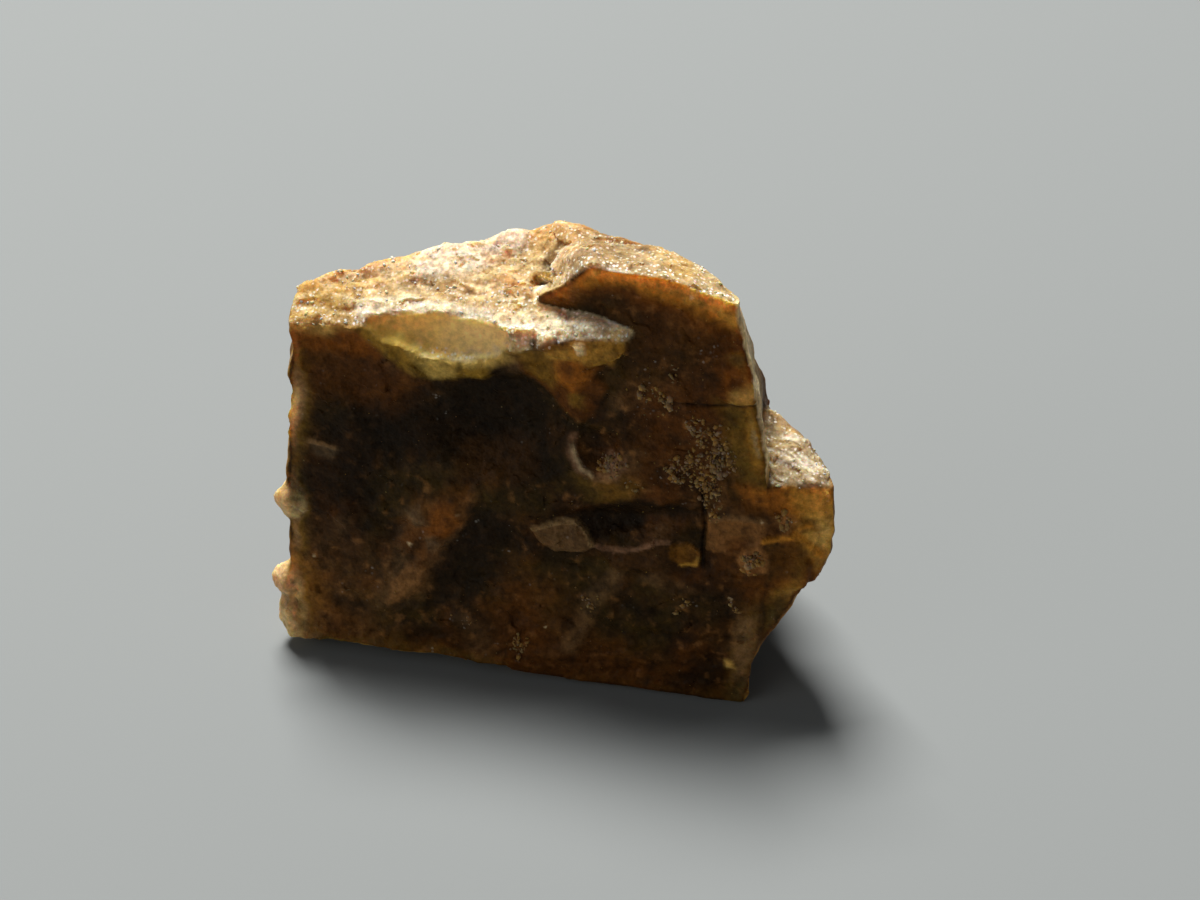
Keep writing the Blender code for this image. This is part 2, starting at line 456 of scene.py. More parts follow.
    def distance(self, points: Array) -> Array:
        """Distance outside the stone, negative inside: joined blocks and lumps, less the hollows.

        Args:
            points: places, in mm.

        Returns:
            One distance in mm for each point.
        """
        body = join(self.ledge.distance(points), self.plate.distance(points), self.soft_plate)
        body = join(body, self.lobe.distance(points), self.soft_lobe)
        body = join(body, self.lobe_root.distance(points), self.soft_root)
        for step in (self.high_step, self.low_step):
            body = cut(body, step.distance(points), self.soft_step)
        for lump in (self.knob, *self.knob_lumps):
            body = join(body, lump.distance(points), self.soft_knob)
        for bead in self.left_beads:
            body = join(body, bead.distance(points), self.soft_bead)
        body = cut(body, self.scoop_distance(points), self.soft_niche)
        for slit in (self.crevice, self.undercut):
            body = cut(body, slit.distance(points), self.soft_slit)
        for hollow in (self.groove, self.moon_chip, self.dark_hollow, *self.back_chips):
            body = cut(body, hollow.distance(points), self.soft_hollow)
        return body

    def scoop_distance(self, points: Array) -> Array:
        """Distance outside the niche in the top of the front: an egg whose rim rises and falls.

        Args:
            points: places, in mm.

        Returns:
            One distance in mm for each point.
        """
        plain = self.scoop.distance(points)
        near = plain < self.scoop_near
        close, fade = points[near], ramp(self.scoop_near, self.scoop_full, plain[near])
        waves = np.stack([0.08 * cloud(close, 0.7, 211, 2), 0.03 * cloud(close, 0.9, 212, 2),
                          0.11 * cloud(close, 0.75, 213, 3)], -1)
        plain[near] = self.scoop.distance(close + waves * fade[:, None])
        return plain

    def facing(self, points: Array) -> Array:
        """The way the surface faces, from the field's slope over a short step.

        Args:
            points: places, in mm.

        Returns:
            One unit vector for each point.
        """
        step = 0.01
        slopes = [self.distance(points + shift) - self.distance(points - shift)
                  for shift in np.eye(3) * step]
        slope = np.stack(slopes, -1)
        return slope / np.maximum(np.linalg.norm(slope, axis=1, keepdims=True), TINY)


FORM = StoneForm()


# ---------------------------------------------------------------------------------------------
# What the faces carry: patches and lines on the front and the top
# ---------------------------------------------------------------------------------------------


class Tint(Enum):
    """The colours on the stone, as linear red, green and blue; some stand in for painted light and shade.
    """

    DEEP = (0.013, 0.0075, 0.003)
    BROWN = (0.068, 0.028, 0.007)
    OLIVE = (0.072, 0.044, 0.007)
    RUSSET = (0.140, 0.044, 0.006)
    RUST = (0.280, 0.082, 0.008)
    GREY = (0.150, 0.105, 0.055)
    TAN = (0.320, 0.175, 0.070)
    SAND = (0.480, 0.300, 0.130)
    ROSE = (0.400, 0.205, 0.110)
    MOSS = (0.330, 0.180, 0.022)
    ORANGE = (0.600, 0.190, 0.018)
    AMBER = (0.640, 0.250, 0.025)
    HONEY = (0.700, 0.360, 0.055)
    GOLD = (0.740, 0.450, 0.110)
    STRAW = (0.840, 0.590, 0.160)
    CLAY = (0.440, 0.190, 0.055)
    CREAM = (0.840, 0.650, 0.360)
    PRIMROSE = (0.950, 0.720, 0.290)
    WHITE = (0.930, 0.860, 0.720)


Outline = tuple[tuple[float, float], ...]


@dataclass(frozen=True)
class Patch:
    """A chip, scale, stain, or painted shade or light: its outline on a face, and what it does there."""

    outline: Outline
    tint: Tint
    strength: float
    edge: float = 0.1        # how far its border fades
    lift: float = 0.0        # how far it stands proud, or lies deep where negative

    def share(self, first: Array, second: Array) -> Array:
        """How much of each point the patch holds, 1 inside to 0 outside."""
        return ramp(0.5 * self.edge, -0.5 * self.edge, outline_distance(first, second, self.outline))


@dataclass(frozen=True)
class Line:
    """A lit rim, ridge or crack: its route on a face, and what it does there."""

    route: Outline
    tint: Tint
    strength: float
    width: float = 0.12
    lift: float = 0.0

    def share(self, first: Array, second: Array) -> Array:
        """How much of each point the line holds, 1 on it to 0 a width away."""
        return ramp(self.width, 0.15 * self.width, line_distance(first, second, self.route))


# On the front, in x and z
FRONT_MARKS: dict[str, Patch | Line] = {
    "dark_hollow": Patch(((-3.6, 8.5), (-1.65, 9.5), (-0.6, 9.2), (0.1, 8.1), (0.24, 7.4), (0.4, 6.6),
        (-0.5, 6.4), (-2.0, 6.4), (-3.6, 6.2), (-5.0, 6.6), (-5.2, 7.6)), Tint.DEEP, 0.9, 1.2, -0.06),
    "left_shade": Patch(((-6.6, 8.3), (-4.6, 8.6), (-4.0, 8.0), (-4.4, 5.6), (-5.2, 4.4), (-6.8, 5.0)),
        Tint.DEEP, 0.65, 1.6),
    "left_brown": Patch(((-7.4, 9.7), (-5.4, 9.6), (-3.6, 8.7), (-4.4, 7.8), (-7.2, 8.2)), Tint.RUSSET, 0.5,
        0.9),
    "left_russet": Patch(((-7.5, 10.25), (-5.2, 10.3), (-4.5, 9.7), (-4.9, 9.3), (-7.5, 9.35)), Tint.RUST,
        0.75, 0.5),
    "left_honey": Patch(((-7.6, 10.8), (-5.0, 10.8), (-5.2, 10.2), (-6.2, 9.9), (-7.5, 9.75)), Tint.GOLD,
        0.85, 0.5),
    "brown_scale": Patch(((-2.75, 7.0), (-0.55, 7.25), (-0.5, 6.0), (-2.75, 5.8)), Tint.BROWN, 0.6, 0.6,
        0.03),
    "above_leaf": Patch(((-2.4, 5.7), (0.3, 5.9), (-0.2, 5.1), (-2.2, 4.9)), Tint.OLIVE, 0.3, 0.6),
    "band_shade": Patch(((-2.6, 4.7), (-2.0, 5.3), (-0.8, 4.6), (-1.2, 3.3), (-2.4, 2.1), (-3.6, 1.9),
        (-3.3, 3.2)), Tint.DEEP, 0.75, 0.7, -0.05),
    "band": Patch(((-2.1, 5.9), (-2.6, 5.4), (-3.6, 5.3), (-4.3, 4.3), (-4.9, 2.9), (-4.9, 1.6),
        (-4.0, 1.8), (-3.3, 3.1), (-2.6, 4.2), (-2.1, 5.2)), Tint.TAN, 0.2, 0.4, 0.06),
    "band_warm": Patch(((-2.3, 5.9), (-3.6, 5.2), (-4.4, 3.8), (-3.6, 3.2), (-2.8, 4.2), (-2.1, 5.2)),
        Tint.RUST, 0.3, 0.5),
    "orange_bead": Patch(((-3.52, 4.59), (-3.1, 5.17), (-2.63, 5.29), (-2.55, 4.7), (-3.1, 4.1),
        (-3.52, 4.04)), Tint.RUST, 0.6, 0.35, 0.12),
    "bead_cap": Patch(((-4.0, 4.9), (-3.6, 5.1), (-3.5, 4.6), (-3.9, 4.4)), Tint.GREY, 0.55, 0.25, 0.06),
    "bead_foot": Patch(((-3.5, 4.1), (-3.2, 4.2), (-3.1, 3.8), (-3.5, 3.6)), Tint.GREY, 0.5, 0.25, 0.04),
    "tan_bead": Patch(((-4.57, 1.86), (-4.45, 2.76), (-3.94, 3.23), (-3.41, 3.21), (-3.66, 2.55),
        (-4.23, 2.0)), Tint.CLAY, 0.42, 0.28, 0.12),
    "foot_left": Patch(((-7.5, 4.2), (-5.0, 3.6), (-4.6, 0.4), (-7.9, 0.3)), Tint.CLAY, 0.12, 1.2),
    "foot_glow": Patch(((-7.6, 3.2), (-6.5, 2.9), (-6.2, 1.4), (-6.9, 0.5), (-7.6, 0.6)), Tint.AMBER, 0.2,
        0.8),
    "foot_red": Patch(((-1.6, 2.9), (0.4, 3.3), (1.2, 1.8), (3.4, 1.0), (2.8, 0.1), (-1.6, 0.1)),
        Tint.RUSSET, 0.35, 1.0),
    "foot_middle": Patch(((-1.4, 3.9), (1.4, 3.9), (1.8, 2.2), (-0.2, 1.9)), Tint.OLIVE, 0.25, 1.0),
    "scoop_glow": Patch(((-5.6, 10.3), (-4.95, 9.7), (-4.46, 9.3), (-3.84, 8.95), (-2.97, 8.85),
        (-2.1, 9.05), (-1.5, 9.6), (-2.0, 10.2), (-3.3, 10.2), (-4.4, 10.2)), Tint.MOSS, 0.95, 0.3, 0.04),
    # A painted highlight along the niche's lower lip, where it faces up into the light.
    "scoop_lip_highlight": Line(((-3.9, 9.62), (-3.3, 9.52), (-2.4, 9.5), (-1.8, 9.6), (-1.4, 9.85)), Tint.STRAW, 0.6,
        0.24),
    "scoop_drip": Patch(((-3.9, 9.4), (-3.3, 9.45), (-2.6, 9.3), (-2.7, 8.95), (-3.4, 8.85)), Tint.STRAW,
        0.4, 0.25),
    "crust_drip": Patch(((-2.75, 10.75), (-2.1, 10.3), (-1.5, 10.02), (-0.9, 9.98), (-0.5, 10.2),
        (0.0, 10.35), (0.0, 10.8)), Tint.CREAM, 0.8, 0.25, 0.2),
    "bridge": Line(((-1.8, 9.6), (-1.2, 9.85), (-0.6, 10.0), (0.1, 10.1)), Tint.GOLD, 0.7, 0.34),
    "wedge": Patch(((-1.2, 10.0), (-0.9, 9.25), (-0.25, 8.75), (0.2, 8.35), (0.72, 8.2), (1.1, 8.6),
        (1.4, 9.1), (1.1, 9.55), (1.55, 9.95), (2.0, 10.45), (0.9, 10.7), (-0.4, 10.4)), Tint.RUSSET, 0.75,
        0.22, 0.05),
    "wedge_moss": Patch(((-1.1, 10.1), (-0.75, 9.3), (-0.2, 8.95), (0.2, 9.3), (0.05, 10.1)), Tint.MOSS,
        0.5, 0.35),
    "wedge_heart": Patch(((-0.1, 10.0), (0.0, 9.4), (0.5, 9.0), (1.05, 9.35), (0.95, 10.1)), Tint.ORANGE,
        0.45, 0.4),
    "wedge_straw": Patch(((0.35, 8.9), (0.6, 9.0), (0.9, 8.8), (0.75, 8.5), (0.4, 8.6)), Tint.MOSS, 0.5,
        0.25),
    "wedge_crest": Patch(((-0.3, 10.0), (0.3, 10.5), (1.3, 10.6), (2.0, 10.9), (1.9, 10.3), (1.5, 9.9),
        (0.6, 10.05)), Tint.HONEY, 0.6, 0.25),
    "wedge_glint": Patch(((0.55, 10.5), (0.85, 10.55), (0.9, 10.35), (0.65, 10.25)), Tint.CREAM, 0.9, 0.14,
        0.06),
    # A painted sheen on the moon chip's edge: a rose ring and a thin cream rim.
    "moon_sheen": Line(((0.5, 7.6), (0.48, 7.1), (0.68, 6.66), (1.08, 6.5), (1.5, 6.5)), Tint.ROSE, 0.45,
        0.17, 0.05),
    "moon_sheen_rim": Line(((0.5, 7.35), (0.54, 7.0), (0.74, 6.66), (1.05, 6.52)), Tint.CREAM, 0.4, 0.09, 0.05),
    "moon_blob": Patch(((1.5, 7.1), (1.95, 7.15), (2.05, 6.8), (1.7, 6.5), (1.42, 6.7)), Tint.ROSE, 0.75,
        0.3, 0.1),
    "below_moon": Patch(((0.6, 6.5), (1.4, 6.6), (2.4, 6.4), (2.2, 5.8), (0.9, 5.8)), Tint.MOSS, 0.32, 0.6),
    # A painted shadow: the groove under the overhanging step, darkened where its shade falls.
    "groove_shadow": Patch(((-0.7, 4.95), (0.6, 5.25), (1.82, 5.85), (3.2, 6.0), (3.9, 5.6), (2.69, 5.3),
        (1.84, 4.85), (1.2, 4.5), (0.6, 5.05)), Tint.DEEP, 0.85, 0.3, -0.05),
    "leaf": Patch(((-0.59, 4.75), (0.01, 4.95), (0.61, 5.0), (0.92, 4.73), (1.14, 4.4), (0.85, 4.2),
        (0.08, 4.1), (-0.34, 4.39)), Tint.TAN, 0.36, 0.08, 0.13),
    # A painted highlight along the leaf's upper edge.
    "leaf_highlight": Line(((-0.58, 4.74), (0.0, 4.93), (0.6, 4.98), (0.92, 4.72), (1.12, 4.4)), Tint.SAND, 0.6,
        0.08, 0.03),
    "shelf": Patch(((1.2, 4.38), (1.72, 4.36), (2.29, 4.46), (2.8, 4.72), (3.18, 4.76), (3.3, 4.3),
        (3.0, 3.9), (1.7, 3.7)), Tint.BROWN, 0.8, 0.25, 0.12),
    "shelf_rim": Line(((1.2, 4.4), (1.72, 4.38), (2.29, 4.48), (2.8, 4.76), (3.18, 4.78)), Tint.ROSE, 0.6,
        0.1, 0.04),
    "amber_crystal": Patch(((3.23, 4.67), (3.75, 4.74), (4.0, 4.46), (3.96, 4.09), (3.5, 4.03),
        (3.24, 4.36)), Tint.AMBER, 0.26, 0.16, 0.09),
    "crystal_rim": Line(((3.5, 4.06), (3.9, 4.12), (3.97, 4.3)), Tint.HONEY, 0.7, 0.09),
    "upper_right": Patch(((1.9, 11.2), (4.7, 11.6), (5.3, 8.6), (3.6, 7.9), (2.0, 9.4)), Tint.RUSSET, 0.3,
        1.4),
    "right_brown": Patch(((2.2, 9.3), (4.2, 9.3), (4.6, 6.6), (2.6, 6.4)), Tint.RUSSET, 0.55, 1.2),
    "right_glow": Patch(((4.35, 9.1), (5.6, 9.2), (5.8, 6.9), (5.2, 6.8), (4.6, 7.9)), Tint.MOSS, 0.5, 0.6),
    "olive_flake": Patch(((4.2, 10.1), (5.3, 10.2), (5.4, 9.22), (4.5, 9.12), (4.3, 9.5)), Tint.RUST, 0.75,
        0.3, 0.03),
    "olive_rim": Patch(((4.5, 9.5), (5.3, 9.8), (5.35, 9.22), (4.6, 9.14)), Tint.GOLD, 0.6, 0.3),
    "level_crack": Line(((2.9, 8.9), (3.7, 8.98), (4.5, 9.05), (5.35, 9.16)), Tint.DEEP, 0.8, 0.07, -0.05),
    "upright_crack": Line(((4.06, 6.5), (4.09, 5.6), (4.06, 4.9), (4.1, 4.1)), Tint.DEEP, 0.85, 0.1, -0.09),
    "lobe_warm": Patch(((4.4, 6.3), (6.4, 5.9), (6.6, 3.8), (5.6, 3.2), (4.4, 4.2)), Tint.RUSSET, 0.35,
        0.8),
    "lobe_orange": Patch(((5.0, 6.7), (6.6, 6.8), (7.6, 6.6), (7.4, 5.9), (6.4, 5.9), (5.2, 6.2)),
        Tint.ORANGE, 0.45, 0.5),
    "lobe_honey": Patch(((6.3, 6.75), (7.9, 6.9), (7.9, 5.6), (7.1, 5.8), (6.6, 6.2)), Tint.HONEY, 0.6,
        0.6),
    "lobe_scale": Patch(((4.14, 5.6), (4.66, 5.77), (5.73, 5.71), (5.81, 5.1), (5.23, 4.72), (4.18, 4.63)),
        Tint.CLAY, 0.42, 0.16, 0.07),
    "scale_rim": Line(((4.3, 5.62), (4.66, 5.74), (5.2, 5.75), (5.7, 5.68)), Tint.TAN, 0.5, 0.14, 0.03),
    "lobe_smooth": Patch(((5.85, 5.15), (6.6, 5.15), (7.0, 4.7), (6.6, 4.2), (5.9, 3.9)), Tint.OLIVE, 0.6,
        0.25),
    "scale_hollow": Patch(((4.7, 5.2), (5.2, 5.2), (5.3, 4.8), (4.8, 4.7)), Tint.RUSSET, 0.7, 0.3, -0.06),
    "lobe_flake": Patch(((5.14, 4.93), (5.61, 5.04), (5.91, 4.74), (5.85, 4.25), (5.33, 4.18),
        (5.05, 4.54)), Tint.CLAY, 0.8, 0.2, 0.1),
    "lobe_tuft": Patch(((5.96, 5.85), (6.35, 6.03), (6.59, 5.79), (6.42, 5.58), (6.05, 5.57)), Tint.CLAY,
        0.6, 0.3, 0.07),
    "lobe_lower": Patch(((5.95, 5.0), (6.62, 5.25), (7.3, 4.8), (7.2, 4.0), (6.46, 3.6), (5.9, 3.7)),
        Tint.RUSSET, 0.5, 0.3, 0.08),
    "lobe_notch": Patch(((6.7, 5.85), (7.1, 5.8), (7.15, 5.4), (6.75, 5.45)), Tint.RUSSET, 0.6, 0.2, -0.06),
    "lobe_ridge": Line(((5.76, 5.14), (6.25, 5.3), (6.62, 5.34), (6.86, 5.13), (7.25, 4.72)), Tint.AMBER,
        0.75, 0.13, 0.05),
    "lobe_fork": Line(((6.4, 5.32), (6.7, 5.55), (6.95, 5.62)), Tint.AMBER, 0.6, 0.1, 0.03),
    "foot_streak": Line(((1.7, 3.6), (1.1, 2.45), (0.5, 1.2)), Tint.TAN, 0.35, 0.35, 0.03),
    "left_streak": Line(((-6.6, 6.66), (-6.3, 6.62), (-6.0, 6.5)), Tint.TAN, 0.7, 0.12, 0.04),
    "under_streak": Patch(((-6.6, 6.6), (-5.9, 6.5), (-6.0, 6.2), (-6.5, 6.2)), Tint.GREY, 0.4, 0.2),
    "foot_gold": Patch(((4.8, 1.35), (5.05, 1.4), (5.1, 1.12), (4.85, 1.1)), Tint.GOLD, 0.8, 0.15, 0.04),
    "foot_pale": Patch(((5.0, 2.9), (5.6, 2.9), (5.5, 0.8), (5.15, 0.8)), Tint.TAN, 0.6, 0.4),
}

# Painted glints, small bright points on the front: x, z and size
GLINTS: tuple[tuple[float, float, float], ...] = (
    (-3.97, 3.8, 0.045), (3.48, 11.95, 0.07), (-6.6, 3.1, 0.03), (-5.7, 2.1, 0.03), (-2.6, 4.95, 0.03),
    (-3.35, 5.25, 0.03), (5.62, 5.68, 0.04), (4.9, 3.3, 0.035), (-0.1, 1.7, 0.03),
)

# On the ledge and the plate, in x and y
TOP_MARKS: dict[str, Patch | Line] = {
    "gold_end": Patch(((-7.6, -1.5), (-6.5, -0.9), (-5.8, -0.8), (-5.7, -1.8), (-6.9, -2.6)), Tint.GOLD,
        0.5, 0.7),
    "brown_streak": Patch(((-6.2, -0.8), (-4.8, -0.6), (-4.7, -1.05), (-6.1, -1.15)), Tint.TAN, 0.7, 0.25),
    "bright_back": Patch(((-4.25, -0.7), (-3.9, -0.2), (-2.5, 0.15), (-1.4, 0.5), (-1.2, -0.2),
        (-2.3, -0.75), (-3.4, -1.03), (-4.07, -1.05)), Tint.WHITE, 0.6, 0.35, 0.08),
    "fibres": Patch(((-4.43, -1.2), (-2.58, -0.98), (-1.74, -1.12), (-2.2, -1.5), (-4.1, -1.6)), Tint.TAN,
        0.55, 0.25),
    "orange_a": Patch(((-2.4, -1.2), (-1.8, -1.15), (-1.85, -1.4), (-2.3, -1.42)), Tint.RUST, 0.6, 0.25,
        -0.04),
    "orange_b": Patch(((-1.7, -0.9), (-1.0, -1.0), (-0.85, -1.45), (-1.5, -1.3)), Tint.ORANGE, 0.55, 0.3,
        0.06),
    "orange_c": Patch(((-1.7, -1.83), (-1.28, -1.8), (-1.23, -2.08), (-1.65, -2.1)), Tint.AMBER, 0.7, 0.2,
        0.04),
    "orange_d": Patch(((-2.4, -0.35), (-1.6, -0.3), (-1.5, -0.65), (-2.3, -0.68)), Tint.AMBER, 0.45, 0.3,
        -0.05),
    "white_rim": Patch(((-5.7, -1.8), (-4.3, -1.6), (-2.7, -1.7), (-1.6, -1.85), (-0.6, -1.95),
        (-0.3, -2.7), (-1.2, -2.8), (-2.1, -2.5), (-3.9, -2.3), (-5.2, -2.3)), Tint.WHITE, 0.5, 0.25, 0.03),
    # A painted shade in the crevice at the plate's left end, darkened brown.
    "hollow_shade": Patch(((-0.75, -0.95), (-0.6, -0.5), (-0.38, -0.3), (-0.15, -0.5), (-0.25, -0.9),
        (-0.5, -1.15)), Tint.BROWN, 0.8, 0.25, -0.08),
    "hollow_streak": Line(((-0.75, -1.35), (-0.4, -1.1), (-0.1, -0.8)), Tint.WHITE, 0.7, 0.16, 0.04),
    "knob_pale": Patch(((-0.6, -2.0), (0.4, -1.8), (1.1, -2.2), (1.4, -2.9), (-0.4, -3.1)), Tint.WHITE, 0.4,
        0.4),
    "plate_brown": Patch(((-0.3, 0.6), (1.5, 0.6), (2.3, -0.4), (2.0, -1.9), (0.2, -1.9), (-0.4, -1.0)),
        Tint.TAN, 0.45, 0.7),
    "plate_spots": Patch(((0.5, -0.1), (0.9, 0.0), (1.5, -0.5), (1.1, -0.9)), Tint.RUSSET, 0.4, 0.4),
    "plate_gold": Patch(((2.3, 0.1), (3.1, -0.4), (3.6, -1.6), (2.9, -2.0), (2.4, -1.0)), Tint.GOLD, 0.5,
        0.5),
    "plate_white": Patch(((1.2, -1.95), (1.8, -1.95), (1.85, -2.3), (1.2, -2.3)), Tint.WHITE, 0.8, 0.25),
}


class Area(Enum):
    """Soft-edged areas of the stone: an axis, where the area is none, and where it is full, in mm."""

    NICHE = ((Z, 9.3, 9.4), (X, -5.7, -5.4), (X, -1.1, -1.3))
    TOPS = ((Z, 9.6, 9.9),)
    BEHIND_TOPS = ((Y, -0.8, 0.3),)
    BACK_OF_TOPS = ((Y, -0.6, 0.2),)
    LOBE_TOP = ((X, 4.6, 4.9), (Z, 6.0, 6.3), (Z, 8.4, 8.1))
    FRONT = ((Y, -1.0, -1.6),)
    LEFTMOST = ((X, -7.1, -7.4),)
    FOOT = ((Z, 0.5, 0.2),)
    OFF_BASE = ((Z, 0.0, 0.5),)
    WELL_OFF_BASE = ((Z, 0.0, 1.2),)
    LEFT_WALL = ((X, -6.2, -6.7), (Y, -0.5, -1.5))
    PLATE_FRONT = ((X, -0.9, 0.2), (Z, 10.3, 10.9))
    RIGHT_EDGE = ((X, 3.6, 4.6), (Z, 6.6, 7.2), (Z, 10.8, 9.6))
    LOBE_EDGE = ((X, 4.8, 5.6), (Z, 7.2, 6.8), (Z, 3.0, 4.0))
    LEFT_EDGE = ((X, -6.2, -6.9),)
    LEFT_UPPER = ((Z, 6.2, 7.0),)
    LEFT_LOWER = ((Z, 5.6, 5.0),)
    LEDGE_EDGE = ((Z, 9.0, 9.6), (X, -1.0, -2.0))
    BESIDE_WALL = ((Z, 6.6, 7.0), (Z, 10.6, 10.0))
    LOBE_FRONT = ((X, 4.7, 5.4), (Z, 7.3, 7.0))
    LEFT_FRONT = ((X, -6.2, -6.8), (Z, 9.9, 9.5))
    LEDGE_FRONT = ((X, -5.8, -4.6), (Y, -0.2, -0.9))
    LEDGE_LEFT = ((X, -5.2, -6.0),)
    LEDGE_BACK = ((Y, -0.9, -0.2), (X, 0.0, -1.0))
    LEDGE_RIM = ((Y, -1.2, -1.9), (Z, 9.8, 10.1), (X, -6.2, -5.4))
    PLATE_TOP = ((X, -0.2, 0.6), (Z, 11.6, 12.0))
    UPPER_HALF = ((Z, 7.0, 12.0),)
    FRONT_HALF = ((Y, 0.5, -1.0),)
    RIGHT_WALL = ((Z, 6.6, 7.4), (X, 3.5, 4.4))
    WALL_AHEAD = ((Y, -0.2, -1.6),)
    LEFT_SIDE = ((X, -5.6, -6.2),)
    LEFT_CORNER = ((Y, -1.4, -2.4), (X, -6.4, -6.9))
    LIP_RIGHT = ((X, -4.0, -3.2),)
    ROSE_BEAD = ((Z, 2.8, 2.2), (Z, 1.2, 1.6))
    SUGARED = ((Y, 0.9, 0.3),)

    def share(self, points: Array) -> Array:
        """How much of each point lies in the area: smooth steps along its axes, multiplied."""
        return np.prod([ramp(none, full, points[:, axis]) for axis, none, full in self.value], axis=0)


@dataclass
class Surface:
    """Points on the stone, the way each faces, and how much of each zone it lies in."""

    points: Array
    facing: Array
    front: Array = field(init=False)
    top: Array = field(init=False)
    lobe_top: Array = field(init=False)
    scoop: Array = field(init=False)
    bead: Array = field(init=False)
    base: Array = field(init=False)

    def __post_init__(self) -> None:
        """Work out the zones from where the points are and how they face."""
        points = self.points
        up, ahead = self.facing[:, Z], -self.facing[:, Y]
        niche = np.abs(FORM.scoop_distance(points)) + 0.05 * cloud(points, 0.28, 214, 2)
        self.scoop = ramp(0.1, 0.03, niche) * Area.NICHE.share(points)
        ragged = 0.35 * cloud(points, 1.1, 201, 3)
        self.top = ramp(0.35, 0.62, up + ragged * Area.BEHIND_TOPS.share(points))
        self.top *= Area.TOPS.share(points) * (1.0 - self.scoop)
        self.lobe_top = ramp(0.45, 0.8, up + 0.5 * ragged) * Area.LOBE_TOP.share(points)
        self.front = ramp(0.5, 0.8, ahead) * Area.FRONT.share(points) * (1.0 - self.scoop)
        beads = np.max([ramp(0.2, 0.05, bead.distance(points)) for bead in FORM.left_beads], axis=0)
        self.bead = beads * Area.LEFTMOST.share(points)
        self.base = ramp(-0.5, -0.85, up) * Area.FOOT.share(points)

    @property
    def crust(self) -> Array:
        """The granular tops together."""
        return np.maximum(self.top, self.lobe_top)

    @property
    def plain(self) -> Array:
        """Everywhere but the glassy scoop and the beads."""
        return (1.0 - self.scoop) * (1.0 - self.bead)

    def depth(self, reach: float) -> Array:
        """How far the stone goes on beside a point sunk by the reach: little near an edge."""
        return np.clip(-FORM.distance(self.points - self.facing * reach), 0.0, reach)


def lifted(marks: dict[str, Patch | Line], first: Array, second: Array) -> Array:
    """The lift of all marks on a face, summed.

    Args:
        marks: the face's marks.
        first: places along the face.
        second: places across it.

    Returns:
        One height in mm for each point.
    """
    height = np.zeros(len(first))
    for mark in marks.values():
        if mark.lift:
            height += mark.lift * mark.share(first, second)
    return height


def terraces(points: Array, cell: float, seed: int) -> Array:
    """Flat treads with soft risers between them, as on a stone that splits in layers.

    Formula: three times a cloud, rounded down, plus a smooth step on what is left over.

    Args:
        points: places, in mm.
        cell: how wide the treads are.
        seed: which cloud they follow.

    Returns:
        The number of treads below each point.
    """
    raised = 3.0 * cloud(points, cell, seed, 2)
    tread = np.floor(raised)
    return tread + ramp(0.3, 0.75, raised - tread)


@dataclass(frozen=True)
class Rise:
    """How high each part of the relief stands, in mm."""

    broad: float = 0.07              # the slow swell of the whole stone
    swell: float = 0.085             # on the front, from here
    terrace: float = 0.03
    grain: float = 0.04
    fine_chip: float = 0.028
    wide_chip: float = 0.05
    floret: float = 0.09
    crust_lump: float = 0.11         # on the tops
    fibre: float = 0.03
    side_break: float = 0.2          # on the sides and the back
    side_step: float = 0.07
    side_grain: float = 0.03
    niche: float = 0.03
    bead: float = 0.1
    bead_chip: float = 0.04
    base_share: float = 0.35         # how much of it all the flat base keeps, as hollows


RISE = Rise()

# How far the left wall stands out or in at each height: height, then mm outwards
LEFT_PROFILE = ((0.0, 0.0), (2.9, -0.05), (3.6, 0.06), (5.2, 0.02), (5.7, 0.05), (6.3, 0.04),
                (7.4, -0.14), (8.0, -0.1), (8.5, 0.14), (8.8, 0.12), (9.3, -0.02), (10.4, 0.0))


def front_swells(points: Array) -> Array:
    """The front's soft swells and hollows, about -1..1."""
    return cloud(points, (1.3, 1.3, 1.0), 21, 3)


def florets(points: Array, x: Array, z: Array) -> Array:
    """How much of each point lies in the small tufts that crowd the front's crumb heaps.

    Args:
        points: places, in mm.
        x: places along the front.
        z: places up it.

    Returns:
        One share for each point.
    """
    heap = np.minimum(1.4 * cluster(x, z, CRUMB_HEAPS), 1.0)
    return heap * ramp(0.08, 0.4, cloud(points, (0.36, 0.36, 0.28), 73, 3))


# The tops' tilted grains: size and height in mm, with the seed of each scatter between them
CRUST_GRAINS = (((0.6, 0.42, 0.42), 32, 0.06), ((0.3, 0.24, 0.24), 33, 0.026), (0.15, 35, 0.008))


def crust_grain(points: Array) -> Array:
    """The height of the tops' grain, in mm: soft lumps, tilted grains of three sizes and long fibres.

    Args:
        points: places, in mm.

    Returns:
        One height in mm for each point.
    """
    height = RISE.crust_lump * cloud(points, (0.95, 0.75, 0.75), 36, 2)
    height *= 1.0 - 0.5 * Area.BACK_OF_TOPS.share(points)
    height += RISE.fibre * cloud(points, (1.9, 0.2, 0.2), 34, 2)
    for size, seed, rise in CRUST_GRAINS:
        height += rise * grains(points, size, seed).tilt
    return height


